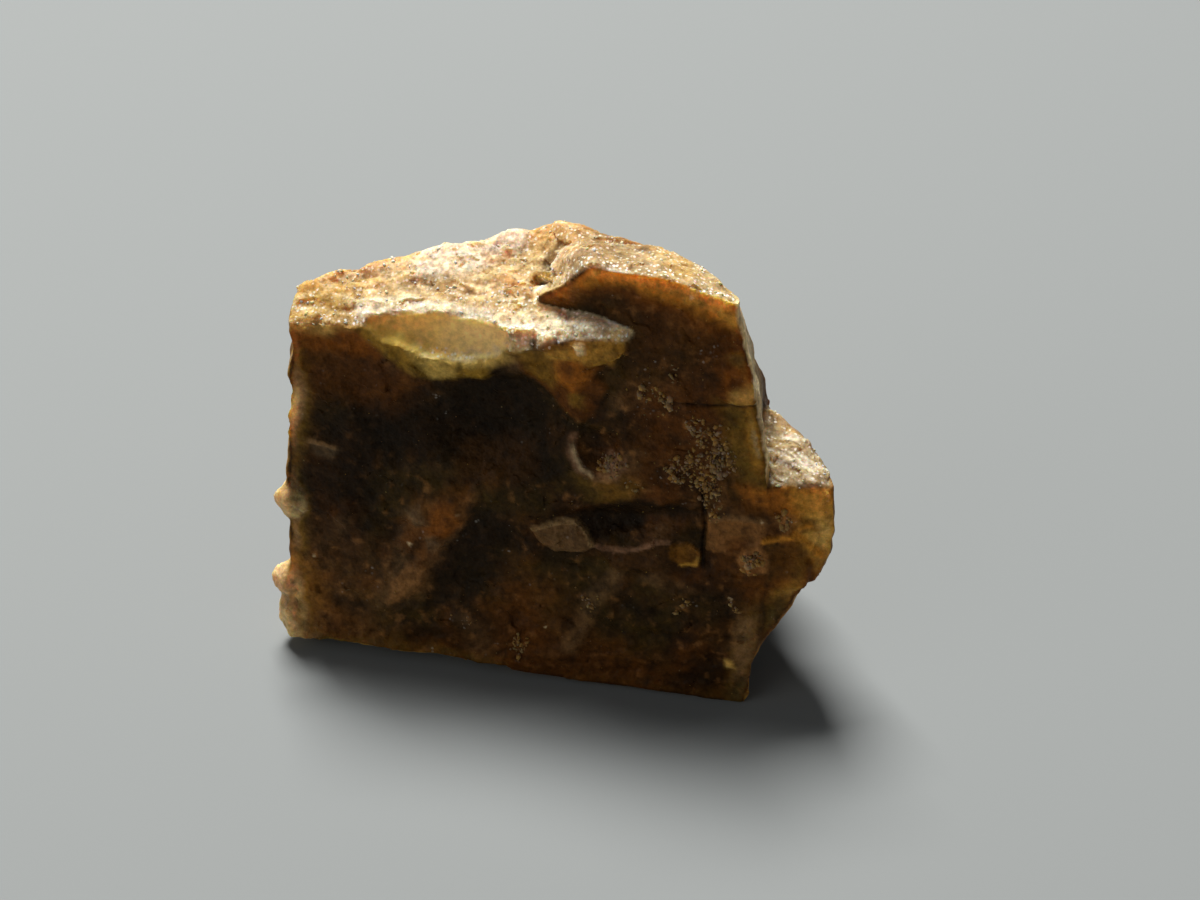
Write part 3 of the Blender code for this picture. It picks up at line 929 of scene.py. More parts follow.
def relief(surface: Surface) -> Array:
    """How far each point of the skin moves along its facing, in mm.

    Formula: a broad cloud everywhere; on the front, soft swells, thin terraces and fine grain, and the
    lift of each mark; on the tops, the crust's grain; elsewhere, large tilted breaks. Each part is
    weighted by its zone, and all fade out towards the flat base.

    Args:
        surface: points on the stone with their zones.

    Returns:
        One distance in mm for each point.
    """
    points, front, crust = surface.points, surface.front, surface.crust
    x, y, z = points.T
    height = RISE.broad * cloud(points, 2.6, 11, 2) * surface.plain
    swells = RISE.swell * front_swells(points) + RISE.terrace * terraces(points, 1.7, 25)
    fine = RISE.grain * cloud(points, 0.36, 23, 3) + RISE.fine_chip * grains(points, 0.3, 22).tilt
    fine += RISE.wide_chip * grains(points, (0.9, 0.9, 0.7), 24).tilt + RISE.floret * florets(points, x, z)
    height += front * surface.plain * (swells + fine + lifted(FRONT_MARKS, x, z))
    height += crust * (crust_grain(points) + lifted(TOP_MARKS, x, y))
    breaks, steps = grains(points, 2.5, 41), grains(points, 0.8, 42)
    sides = np.clip(1.0 - front - crust, 0.0, 1.0) * surface.plain
    broken = RISE.side_break * breaks.tilt * ramp(0.0, 0.16, breaks.gap)
    height += sides * (broken + RISE.side_grain * cloud(points, 0.4, 43, 3))
    height += sides * RISE.side_step * steps.tilt * ramp(0.0, 0.3, steps.gap)
    height += surface.scoop * RISE.niche * cloud(points, (1.2, 0.5, 0.35), 52, 2)
    lumps = RISE.bead * cloud(points, 0.55, 51, 3) + RISE.bead_chip * grains(points, 0.35, 53).tilt
    height += surface.bead * lumps
    wall = ramp(0.5, 0.8, -surface.facing[:, X]) * Area.LEFT_WALL.share(points)
    height += wall * np.interp(z, *zip(*LEFT_PROFILE))
    height = np.where(surface.base > 0.5, -np.abs(RISE.base_share * height), height)
    return height * np.maximum(Area.OFF_BASE.share(points), surface.base)


# The most that a point is shifted along each axis, about, in mm
SWAY_REACH = (0.13, 0.06, 0.12)


def sway(points: Array) -> Array:
    """A sideways shift of every point, in mm, which makes straight edges wander.

    Formula: three clouds, one for each axis, of 1.5 mm cells; no rise or fall near the flat base.

    Args:
        points: places, in mm.

    Returns:
        One shift for each point.
    """
    shift = np.stack([cloud(points, 1.5, 141 + 10 * axis, 3) for axis in range(3)], -1)
    shift *= np.array(SWAY_REACH)
    shift[:, Z] *= Area.WELL_OFF_BASE.share(points)
    return shift


# ---------------------------------------------------------------------------------------------
# Colour
# ---------------------------------------------------------------------------------------------


def mixed(colour: Array, tint: Tint | Array, share: Array) -> Array:
    """The colours moved towards a tint, or towards other colours, by a share for each point."""
    target = np.array(tint.value) if isinstance(tint, Tint) else tint
    return colour + (target - colour) * np.clip(share, 0.0, 1.0)[:, None]


def graded(values: Array, stops: tuple[tuple[float, Tint], ...]) -> Array:
    """Colours run along a row of stops, straight from one tint to the next.

    Args:
        values: where on the row each point is.
        stops: places along the row, and their tints.

    Returns:
        One colour for each point.
    """
    places = [place for place, _ in stops]
    tints = np.array([tint.value for _, tint in stops])
    return np.stack([np.interp(values, places, tints[:, channel]) for channel in range(3)], -1)


def flat(tint: Tint, count: int, light: float = 1.0) -> Array:
    """The same colour at every point, made lighter or darker by a factor."""
    return np.tile(np.array(tint.value) * light, (count, 1))


@dataclass(frozen=True)
class Veil:
    """A cloudy veil of one tint, from none where its cloud is low to its weight where it is high."""

    tint: Tint
    weight: float
    low: float
    high: float
    cell: float | Point
    seed: int


def veiled(colour: Array, points: Array, veils: tuple[Veil, ...]) -> Array:
    """The colours with each veil laid over them in turn.

    Args:
        colour: the colours below.
        points: places, in mm.
        veils: what is laid over them, in order.

    Returns:
        One colour for each point.
    """
    for veil in veils:
        share = ramp(veil.low, veil.high, cloud(points, veil.cell, veil.seed))
        colour = mixed(colour, veil.tint, veil.weight * share)
    return colour


FRONT_VEILS = (
    Veil(Tint.OLIVE, 0.5, -0.3, 0.4, 2.2, 61),
    Veil(Tint.RUSSET, 0.6, -0.1, 0.5, 1.7, 64),
    Veil(Tint.BROWN, 0.6, 0.0, 0.5, 0.8, 68),
)
TOP_GROUND = (
    Veil(Tint.TAN, 0.5, 0.0, 0.6, (1.9, 0.22, 0.3), 71),
    Veil(Tint.AMBER, 0.2, 0.2, 0.7, 0.45, 84),
)
TOP_STREAKS = (
    Veil(Tint.BROWN, 0.5, 0.2, 0.7, (0.8, 0.11, 0.2), 80),
    Veil(Tint.CREAM, 0.7, 0.0, 0.4, (0.6, 0.2, 0.25), 77),
)
SIDE_GROUND = (Veil(Tint.OLIVE, 0.6, -0.2, 0.5, 2.0, 81),)
SIDE_SHADE = (Veil(Tint.DEEP, 0.5, 0.1, 0.6, 0.6, 87),)
WALL_STREAKS = (Veil(Tint.GREY, 0.5, -0.2, 0.5, (0.4, 0.5, 1.2), 121),)
LOBE_STREAKS = (
    Veil(Tint.WHITE, 0.55, 0.0, 0.5, (0.9, 0.14, 0.3), 111),
    Veil(Tint.BROWN, 0.6, 0.1, 0.55, (1.0, 0.12, 0.3), 114),
    Veil(Tint.MOSS, 0.45, 0.0, 0.6, (1.0, 0.3, 0.4), 117),
)

# What shows through by how deep the stone is behind a point, from thin to thick, in mm
LOBE_GLOW = ((0.0, Tint.STRAW), (0.15, Tint.GOLD), (0.45, Tint.HONEY), (0.7, Tint.AMBER),
             (0.95, Tint.ORANGE), (1.3, Tint.RUST))
EDGE_GLOW = ((0.0, Tint.CREAM), (0.06, Tint.GOLD), (0.2, Tint.HONEY), (0.3, Tint.HONEY), (0.42, Tint.AMBER),
             (0.6, Tint.RUST), (0.9, Tint.RUSSET))
LEFT_GLOW = ((0.0, Tint.CREAM), (0.12, Tint.PRIMROSE), (0.3, Tint.SAND), (0.5, Tint.MOSS),
             (0.8, Tint.OLIVE))


@dataclass
class Paint:
    """Colour, roughness, clearness, sparkle and bright flecks at each point of a mesh."""

    colour: Array
    rough: Array
    clear: Array
    sparkle: Array
    fleck: Array

    def put(self, mesh: bpy.types.Mesh) -> None:
        """Store all five on the mesh, as the attributes that the finish reads.

        Args:
            mesh: a mesh with as many points as there are colours.
        """
        rgba = np.ones((len(self.colour), 4), np.float32)
        rgba[:, :3] = self.colour
        tint = mesh.attributes.new("tint", "FLOAT_COLOR", "POINT")
        tint.data.foreach_set("color", rgba.ravel())
        for name in ("rough", "clear", "sparkle", "fleck"):
            values = mesh.attributes.new(name, "FLOAT", "POINT")
            values.data.foreach_set("value", getattr(self, name).astype(np.float32))


# The front's right-hand edge: x and z of its top, and how far it moves out for each mm down
RIGHT_TOP = (4.68, 12.0)
RIGHT_SPREAD = 0.19

# The plate's upper edge on the front: x and z of a point on each straight stretch, and its slope
PLATE_EDGE = ((-0.75, 10.82, 1.15), (1.1, 12.6, -0.02), (2.6, 12.54, -0.27))


def right_gap(x: Array, z: Array) -> Array:
    """How far a place on the front lies from the right-hand edge."""
    return RIGHT_TOP[0] + RIGHT_SPREAD * (RIGHT_TOP[1] - z) - x


def plate_top(x: Array) -> Array:
    """The height of the plate's upper edge on the front: up the fin, level, then down to the right."""
    return np.min([height + slope * (x - at) for at, height, slope in PLATE_EDGE], axis=0)


# How strongly light comes out near the edges of an area, and near every other edge
EDGE_STRENGTHS = ((Area.PLATE_FRONT, 0.95), (Area.RIGHT_EDGE, 0.6), (Area.LOBE_EDGE, 0.95),
                  (Area.LEDGE_EDGE, 0.75))
LEAST_GLOW = 0.12


def edge_strength(surface: Surface) -> Array:
    """How strongly the stone glows near its edges: most on the plate, the lobe and the right side.

    Args:
        surface: points on the stone with their zones.

    Returns:
        One strength in 0..1 for each point.
    """
    points = surface.points
    patchy = ramp(-0.3, 0.4, cloud(points, 1.1, 131))
    left = 0.4 + 0.58 * Area.LEFT_UPPER.share(points) + 0.4 * Area.LEFT_LOWER.share(points) * patchy
    left *= Area.LEFT_EDGE.share(points)
    strengths = [weight * area.share(points) for area, weight in EDGE_STRENGTHS]
    return np.max([np.full(len(points), LEAST_GLOW), left, *strengths], axis=0)


def front_colour(surface: Surface) -> Array:
    """Deep brown mottled with olive and russet, glowing where the stone is thin behind its edges, with
    painted shade in the hollows between its swells and painted light on their crests.

    Args:
        surface: points on the stone with their zones.

    Returns:
        One colour for each point.
    """
    points = surface.points
    x, _, z = points.T
    colour = veiled(flat(Tint.BROWN, len(x), 0.5), points, FRONT_VEILS)
    swell = front_swells(points)
    # Painted shade and light: darker in the hollows between the front's swells, lighter on their crests.
    colour = mixed(colour, Tint.DEEP, 0.7 * ramp(0.1, -0.5, swell))
    colour = mixed(colour, Tint.TAN, 0.25 * ramp(0.15, 0.7, swell))
    wobble = cloud(points, 0.7, 90, 3)
    beside = ramp(0.9, 0.4, right_gap(x, z)) * Area.BESIDE_WALL.share(points)
    depth = (surface.depth(1.4) + 0.16 * wobble) * (1.0 + 1.6 * beside)
    below = np.maximum(0.62 * (plate_top(x) - z) + 0.1 * wobble, 0.0)
    depth = depth + (np.maximum(depth, below) - depth) * Area.PLATE_FRONT.share(points)
    glow = edge_strength(surface) * ramp(1.1, 0.25, depth)
    halo = mixed(graded(depth, EDGE_GLOW), graded(depth, LOBE_GLOW), Area.LOBE_FRONT.share(points))
    halo = mixed(halo, graded(depth, LEFT_GLOW), Area.LEFT_FRONT.share(points))
    colour = mixed(colour, halo, glow)
    colour = mixed(colour, Tint.CLAY, 0.3 * ramp(0.2, 0.6, cloud(points, 0.3, 70)))
    for mark in FRONT_MARKS.values():
        give = 0.26 if isinstance(mark, Patch) and mark.edge > 0.2 else 0.04
        share = mark.share(x + give * wobble, z - 0.7 * give * wobble)
        colour = mixed(colour, mark.tint, mark.strength * share)
    colour = mixed(colour, Tint.DEEP, (0.55 - 0.35 * glow) * ramp(0.05, 0.6, cloud(points, 0.5, 67)))
    return mixed(colour, Tint.CLAY, 0.7 * florets(points, x, z))


def glint_share(surface: Surface) -> Array:
    """The painted glints, small bright points on the front.

    Args:
        surface: points on the stone with their zones.

    Returns:
        One share for each point.
    """
    x, _, z = surface.points.T
    share = np.zeros(len(x))
    for at_x, at_z, size in GLINTS:
        share = np.maximum(share, ramp(1.4 * size, 0.6 * size, np.hypot(x - at_x, z - at_z)))
    return share * surface.front


# How light the tops are, and how much darker in each area
TOP_LIGHT = 0.93
TOP_SHADES = ((Area.PLATE_TOP, 0.33), (Area.LEDGE_LEFT, 0.22), (Area.LEDGE_BACK, 0.1))


def top_colour(surface: Surface) -> Array:
    """Sandy cream, streaked along the ledge with white, orange and brown grains, and a painted highlight
    that whitens the raised grains.

    Args:
        surface: points on the stone with their zones.

    Returns:
        One colour for each point.
    """
    points = surface.points
    x, y, _ = points.T
    colour = mixed(flat(Tint.SAND, len(x)), Tint.GOLD, np.full(len(x), 0.25))
    colour = veiled(colour, points, TOP_GROUND)
    colour = mixed(colour, Tint.CREAM, 0.4 * Area.LEDGE_FRONT.share(points))
    wobble = cloud(points, 0.5, 91, 3)
    for mark in TOP_MARKS.values():
        share = mark.share(x + 0.15 * wobble, y + 0.1 * wobble)
        colour = mixed(colour, mark.tint, mark.strength * share)
    colour = veiled(colour, points, TOP_STREAKS)
    # A painted highlight: the crust's raised grains made whiter, where the light catches them.
    colour = mixed(colour, Tint.WHITE, 0.4 * ramp(0.04, 0.16, crust_grain(points)))
    light = TOP_LIGHT - sum(less * area.share(points) for area, less in TOP_SHADES)
    colour = colour * light[:, None]
    edge = ramp(0.22, 0.04, surface.depth(0.5) + 0.08 * wobble)
    edge *= ramp(0.1, 0.35, FORM.scoop_distance(points))
    return mixed(colour, Tint.CREAM, 0.5 * edge)


# How far the streaks on the lobe's top turn away from the stone's width
LOBE_STREAK_TURN = math.radians(-28.0)


def lobe_top_colour(surface: Surface) -> Array:
    """Silver-white and brown streaks that run back and to the right.

    Args:
        surface: points on the stone with their zones.

    Returns:
        One colour for each point.
    """
    points = surface.points
    turn = LOBE_STREAK_TURN
    along = points[:, X] * math.cos(turn) + points[:, Y] * math.sin(turn)
    across = points[:, Y] * math.cos(turn) - points[:, X] * math.sin(turn)
    laid = np.stack([along, across, points[:, Z]], -1)
    colour = mixed(flat(Tint.CREAM, len(laid)), Tint.GREY, np.full(len(laid), 0.75))
    colour = veiled(colour, laid, LOBE_STREAKS)
    return mixed(colour, Tint.CREAM, 0.6 * ramp(0.25, 0.06, surface.depth(0.5)))


def side_colour(surface: Surface) -> Array:
    """Brown broken stone, paler on the upper breaks and silvery on the right-hand wall; the wall's silver
    is partly its own pale grain and partly painted light, caught where the light grazes the wall.

    Args:
        surface: points on the stone with their zones.

    Returns:
        One colour for each point.
    """
    points = surface.points
    breaks = grains(points, 2.5, 41)
    colour = veiled(flat(Tint.BROWN, len(points), 1.6), points, SIDE_GROUND)
    colour = mixed(colour, Tint.TAN, 0.45 * ramp(0.35, 0.8, breaks.chance) * ramp(0.0, 0.12, breaks.gap))
    mossy = 0.5 * Area.UPPER_HALF.share(points) + 0.3 * ramp(0.2, 0.6, cloud(points, 0.8, 84))
    colour = veiled(mixed(colour, Tint.MOSS, mossy), points, SIDE_SHADE)
    wall = ramp(0.6, 0.85, surface.facing[:, X]) * Area.RIGHT_WALL.share(points)
    # Partly painted light: the wall's pale silver is its own grain together with light caught as it grazes
    # the wall.
    silver = veiled(flat(Tint.CREAM, len(points)), points, WALL_STREAKS)
    colour = mixed(colour, silver, 0.95 * wall * Area.WALL_AHEAD.share(points))
    depth = surface.depth(0.9) + 0.12 * cloud(points, 0.6, 124)
    halo = mixed(graded(depth, EDGE_GLOW), graded(depth, LEFT_GLOW), Area.LEFT_SIDE.share(points))
    ahead = Area.LEFT_CORNER.share(points)
    strength = 0.5 + 0.2 * Area.FRONT_HALF.share(points) + 0.25 * ahead - 0.5 * wall
    return mixed(colour, halo, strength * ramp(0.6 + 0.4 * ahead, 0.1, depth))


# The niche's lower rim, the lower half of an ellipse in x and z: its middle, radii and slope
LIP_MIDDLE = (-3.3, 10.42)
LIP_RADII = (1.95, 0.8)
LIP_SLOPE = 0.09


def bowl_colour(points: Array) -> Array:
    """Honey in the niche, cream along its lower lip and deeper towards its left end. The niche's pale straw
    is partly its own yellow and partly painted light, for light that comes through the thin stone, and the
    lip's cream is a painted highlight where the lip faces up into the light.

    Formula: the lip is where the height above the niche's lower rim is small; the rim is half an
    ellipse that falls to the right.

    Args:
        points: places, in mm.

    Returns:
        One colour for each point.
    """
    x, z = points[:, X] - LIP_MIDDLE[0], points[:, Z] - LIP_MIDDLE[1]
    arc = LIP_RADII[1] * np.sqrt(np.clip(1.0 - (x / LIP_RADII[0]) ** 2, 0.0, 1.0))
    climb = z + LIP_SLOPE * x + arc + 0.08 * cloud(points, 0.5, 97)
    # Partly painted light: the niche's pale straw stands in for light that comes through the thin stone.
    colour = flat(Tint.STRAW, len(x))
    colour = mixed(colour, Tint.HONEY, 0.35 * ramp(-0.2, -1.7, x + 0.5 * cloud(points, 0.8, 98)))
    colour = mixed(colour, Tint.PRIMROSE, 0.8 * ramp(-0.6, 1.2, x + 0.6 * cloud(points, 0.5, 99)))
    lip, right = ramp(0.22, 0.04, climb), ramp(-0.9, 0.2, x)
    colour = mixed(colour, Tint.MOSS, 0.5 * lip * (1.0 - right))
    # A painted highlight: cream on the lower lip's right part, which faces up into the light.
    return mixed(colour, Tint.CREAM, 0.8 * lip * right * ramp(-0.1, 0.2, cloud(points, 0.25, 100)))


def fleck_share(surface: Surface) -> Array:
    """How thickly bright flecks are strewn: most on the tops and the niche's lip, few on the front. They
    are mostly painted sparkle, white points that stand in for glints of light off the grain, and on the
    front also pale crumbs.

    Args:
        surface: points on the stone with their zones.

    Returns:
        One share for each point.
    """
    points, crust = surface.points, surface.crust
    x, _, z = points.T
    swarm = 0.5 + 0.5 * ramp(-0.3, 0.4, cloud(points, (0.9, 0.5, 0.5), 174, 2))
    tops = crust * swarm * (0.55 + 0.35 * Area.LEDGE_RIM.share(points))
    lip = surface.scoop * ramp(9.85, 9.68, z + LIP_SLOPE * (x - LIP_MIDDLE[0]))
    drip = surface.front * FRONT_MARKS["crust_drip"].share(x, z)
    lip = 0.6 * np.maximum(lip * Area.LIP_RIGHT.share(points), drip)
    fronts = surface.front * (0.14 * ramp(0.1, 0.6, cloud(points, 0.9, 177)) + 0.35 * florets(points, x, z))
    return np.clip(tops + lip + fronts, 0.0, 1.0)


@dataclass(frozen=True)
class Texture:
    """How rough, clear and sparkling the plain stone is, and what each zone makes of that."""

    rough: float = 0.5
    rough_noise: float = 0.12
    front_rough: float = -0.06       # added on the front
    crust_rough: float = 0.34        # instead, on the tops
    niche_rough: float = 0.2         # instead, in the niche
    clear: float = 0.22
    front_clear: float = -0.12       # each of these is added
    crust_clear: float = 0.3
    niche_clear: float = 0.35
    bead_clear: float = 0.35
    edge_clear: float = 0.5
    sparkle: float = 0.08
    front_sparkle: float = 0.08      # these two too
    crust_sparkle: float = 0.24


TEXTURE = Texture()


def paint_stone(surface: Surface) -> Paint:
    """Colour and texture of the skin: each zone's own, blended by how much of it a point lies in.

    Args:
        surface: points on the stone with their zones.

    Returns:
        The paint of every point.
    """
    points = surface.points
    front, top, lobe_top = surface.front, surface.top, surface.lobe_top
    colour = mixed(side_colour(surface), front_colour(surface), front)
    colour = mixed(colour, top_colour(surface), top)
    colour = mixed(colour, lobe_top_colour(surface), lobe_top)
    colour = mixed(colour, bowl_colour(points), surface.scoop)
    colour = mixed(colour, Tint.CREAM, 0.4 * surface.bead)
    colour = mixed(colour, Tint.PRIMROSE, 0.2 * surface.bead)
    colour = mixed(colour, Tint.ROSE, 0.35 * surface.bead * Area.ROSE_BEAD.share(points))
    # Painted glints: small cream points on the front.
    colour = mixed(colour, Tint.CREAM, 0.6 * glint_share(surface))
    crust, scoop, its = surface.crust, surface.scoop, TEXTURE
    rough = its.rough + its.rough_noise * smooth_noise(points, 0.4, 95) + its.front_rough * front
    rough = rough * (1.0 - crust) + its.crust_rough * crust
    rough = rough * (1.0 - scoop) + its.niche_rough * scoop
    clear = its.clear + its.front_clear * front + its.crust_clear * crust
    clear += its.niche_clear * scoop + its.bead_clear * surface.bead
    drip = FRONT_MARKS["crust_drip"].share(points[:, X], points[:, Z])
    clear += its.edge_clear * np.maximum(ramp(0.9, 0.2, surface.depth(1.0)), drip) * front
    sparkle = its.sparkle + its.front_sparkle * front + its.crust_sparkle * crust
    return Paint(colour=np.clip(colour, 0.0, 1.0), rough=np.clip(rough, 0.1, 0.9),
                 clear=np.clip(clear, 0.0, 0.8), sparkle=sparkle, fleck=fleck_share(surface))


# ---------------------------------------------------------------------------------------------
# Meshes
# ---------------------------------------------------------------------------------------------


def mesh_object(name: str, points: Array, faces: Array) -> bpy.types.Object:
    """An object from points in mm and faces of equal size, linked to the scene.

    Args:
        name: the object's name.
        points: places in mm.
        faces: the points of each face, in order.

    Returns:
        The object, at the origin.
    """
    mesh = bpy.data.meshes.new(name)
    mesh.vertices.add(len(points))
    mesh.vertices.foreach_set("co", (points * MM).astype(np.float32).ravel())
    mesh.loops.add(faces.size)
    mesh.loops.foreach_set("vertex_index", faces.astype(np.int32).ravel())
    mesh.polygons.add(len(faces))
    mesh.polygons.foreach_set("loop_start", np.arange(0, faces.size, faces.shape[1], dtype=np.int32))
    mesh.update(calc_edges=True)
    mesh.validate()
    piece = bpy.data.objects.new(name, mesh)
    bpy.context.scene.collection.objects.link(piece)
    return piece


def mesh_points(mesh: bpy.types.Mesh) -> Array:
    """The mesh's points in mm.

    Args:
        mesh: the mesh.

    Returns:
        One place for each point.
    """
    flat = np.empty(len(mesh.vertices) * 3, np.float32)
    mesh.vertices.foreach_get("co", flat)
    return flat.reshape(-1, 3).astype(float) / MM


def mesh_home(mesh: bpy.types.Mesh) -> Array:
    """Where the mesh's points lay in mm before the relief, which is where the marks are given.

    Args:
        mesh: the skin's mesh.

    Returns:
        One place for each point.
    """
    flat = np.empty(len(mesh.vertices) * 3, np.float32)
    mesh.attributes[HOME].data.foreach_get("vector", flat)
    return flat.reshape(-1, 3).astype(float)


def mesh_facing(mesh: bpy.types.Mesh) -> Array:
    """The way the mesh faces at each point.

    Args:
        mesh: the mesh.

    Returns:
        One unit vector for each point.
    """
    flat = np.empty(len(mesh.vertices) * 3, np.float32)
    mesh.vertex_normals.foreach_get("vector", flat)
    return flat.reshape(-1, 3).astype(float)


def applied(piece: bpy.types.Object) -> bpy.types.Object:
    """A plain object that holds the piece with its modifiers done; the piece itself is removed.

    Args:
        piece: an object with modifiers.

    Returns:
        The plain object, with the same name.
    """
    seen = piece.evaluated_get(bpy.context.evaluated_depsgraph_get())
    mesh = bpy.data.meshes.new_from_object(seen)
    name = piece.name
    bpy.data.objects.remove(piece)
    mesh.name = name
    result = bpy.data.objects.new(name, mesh)
    bpy.context.scene.collection.objects.link(result)
    return result


@dataclass
class StoneSkin:
    """The whole surface of the stone, as one closed mesh.

    A box-shaped grid of two parameters on each of six sides is cast inwards onto the form, made even,
    moved by the relief, and thinned to where it has detail.
    """

    outer_low: Point = (-8.3, -4.0, -0.15)
    outer_high: Point = (8.1, 4.8, 13.0)
    inner_low: Point = (-4.6, -1.3, 2.4)
    inner_high: Point = (3.3, 0.4, 8.6)
    steps: tuple[int, int, int] = (170, 84, 140)
    start_back: float = 0.5          # how far behind the outer box the cast starts
    cast_share: float = 0.85         # how much of its distance a point moves at each step
    cast_steps: int = 60
    cast_near: float = 0.003
    even_cell: float = 0.062
    nudges: int = 2                  # how often the even skin is drawn back onto the form
    most_nudge: float = 0.1
    most_triangles: int = 196000
    crease: float = math.radians(40.0)

    def lattice(self) -> tuple[Array, Array]:
        """Whole-number corners of the box's surface, and its quads with their faces outwards.

        Returns:
            The corners, one of them for each place on the surface, and the quads.
        """
        corners, quads, start = [], [], 0
        for axis in range(3):
            first, second = (axis + 1) % 3, (axis + 2) % 3
            across, along = np.meshgrid(np.arange(self.steps[first] + 1), np.arange(self.steps[second] + 1),
                                        indexing="ij")
            for end in (0, self.steps[axis]):
                side = np.empty(across.shape + (3,), np.int64)
                side[..., axis], side[..., first], side[..., second] = end, across, along
                index = start + np.arange(across.size).reshape(across.shape)
                ring = [index[:-1, :-1], index[1:, :-1], index[1:, 1:], index[:-1, 1:]]
                quads.append(np.stack(ring if end else ring[::-1], -1).reshape(-1, 4))
                corners.append(side.reshape(-1, 3))
                start += across.size
        unique, back = np.unique(np.concatenate(corners), axis=0, return_inverse=True)
        return unique, back.ravel()[np.concatenate(quads)]

    def cast(self, corners: Array) -> Array:
        """Carry the box's corners inwards until they meet the form.

        Formula: each goes from its place on the outer box towards the same place on the inner one, by
        a share of its distance from the form at each step.

        Args:
            corners: whole-number places on the box's surface.

        Returns:
            Their places on the form, in mm.
        """
        share = corners / np.array(self.steps)
        low, high = np.array(self.outer_low), np.array(self.outer_high)
        inner_low, inner_high = np.array(self.inner_low), np.array(self.inner_high)
        start, goal = low + share * (high - low), inner_low + share * (inner_high - inner_low)
        way = (goal - start) / np.linalg.norm(goal - start, axis=1, keepdims=True)
        points = start - self.start_back * way
        moving = np.arange(len(points))
        for _ in range(self.cast_steps):
            gap = FORM.distance(points[moving])
            points[moving] += self.cast_share * gap[:, None] * way[moving]
            moving = moving[np.abs(gap) > self.cast_near]
            if not len(moving):
                break
        return points

    def build(self) -> bpy.types.Object:
        """Cast, even out, roughen and thin the skin, then paint it.

        Returns:
            The finished skin, without its material.
        """
        corners, quads = self.lattice()
        skin = mesh_object("stone_skin", self.cast(corners), quads)
        even = skin.modifiers.new("even", "REMESH")
        even.mode, even.voxel_size = "VOXEL", self.even_cell * MM
        skin = applied(skin)
        points = mesh_points(skin.data)
        for _ in range(self.nudges):
            facing = FORM.facing(points)
            nudge = np.clip(FORM.distance(points), -self.most_nudge, self.most_nudge)
            points -= facing * nudge[:, None]
        surface = Surface(points, FORM.facing(points))
        home = skin.data.attributes.new(HOME, "FLOAT_VECTOR", "POINT")
        home.data.foreach_set("vector", points.astype(np.float32).ravel())
        moved = points + surface.facing * relief(surface)[:, None] + sway(points)
        moved[:, Z] = np.maximum(moved[:, Z], 0.0)
        skin.data.vertices.foreach_set("co", (moved * MM).astype(np.float32).ravel())
        thin = skin.modifiers.new("thin", "DECIMATE")
        thin.ratio = min(1.0, self.most_triangles / (2 * len(skin.data.polygons)))
        log.info("even skin: %d faces, thinned by %.2f", len(skin.data.polygons), thin.ratio)
        thin.use_collapse_triangulate = True
        skin = applied(skin)
        skin.data.shade_smooth()
        skin.data.set_sharp_from_angle(angle=self.crease)
        home = mesh_home(skin.data)
        paint_stone(Surface(home, FORM.facing(home))).put(skin.data)
        return skin


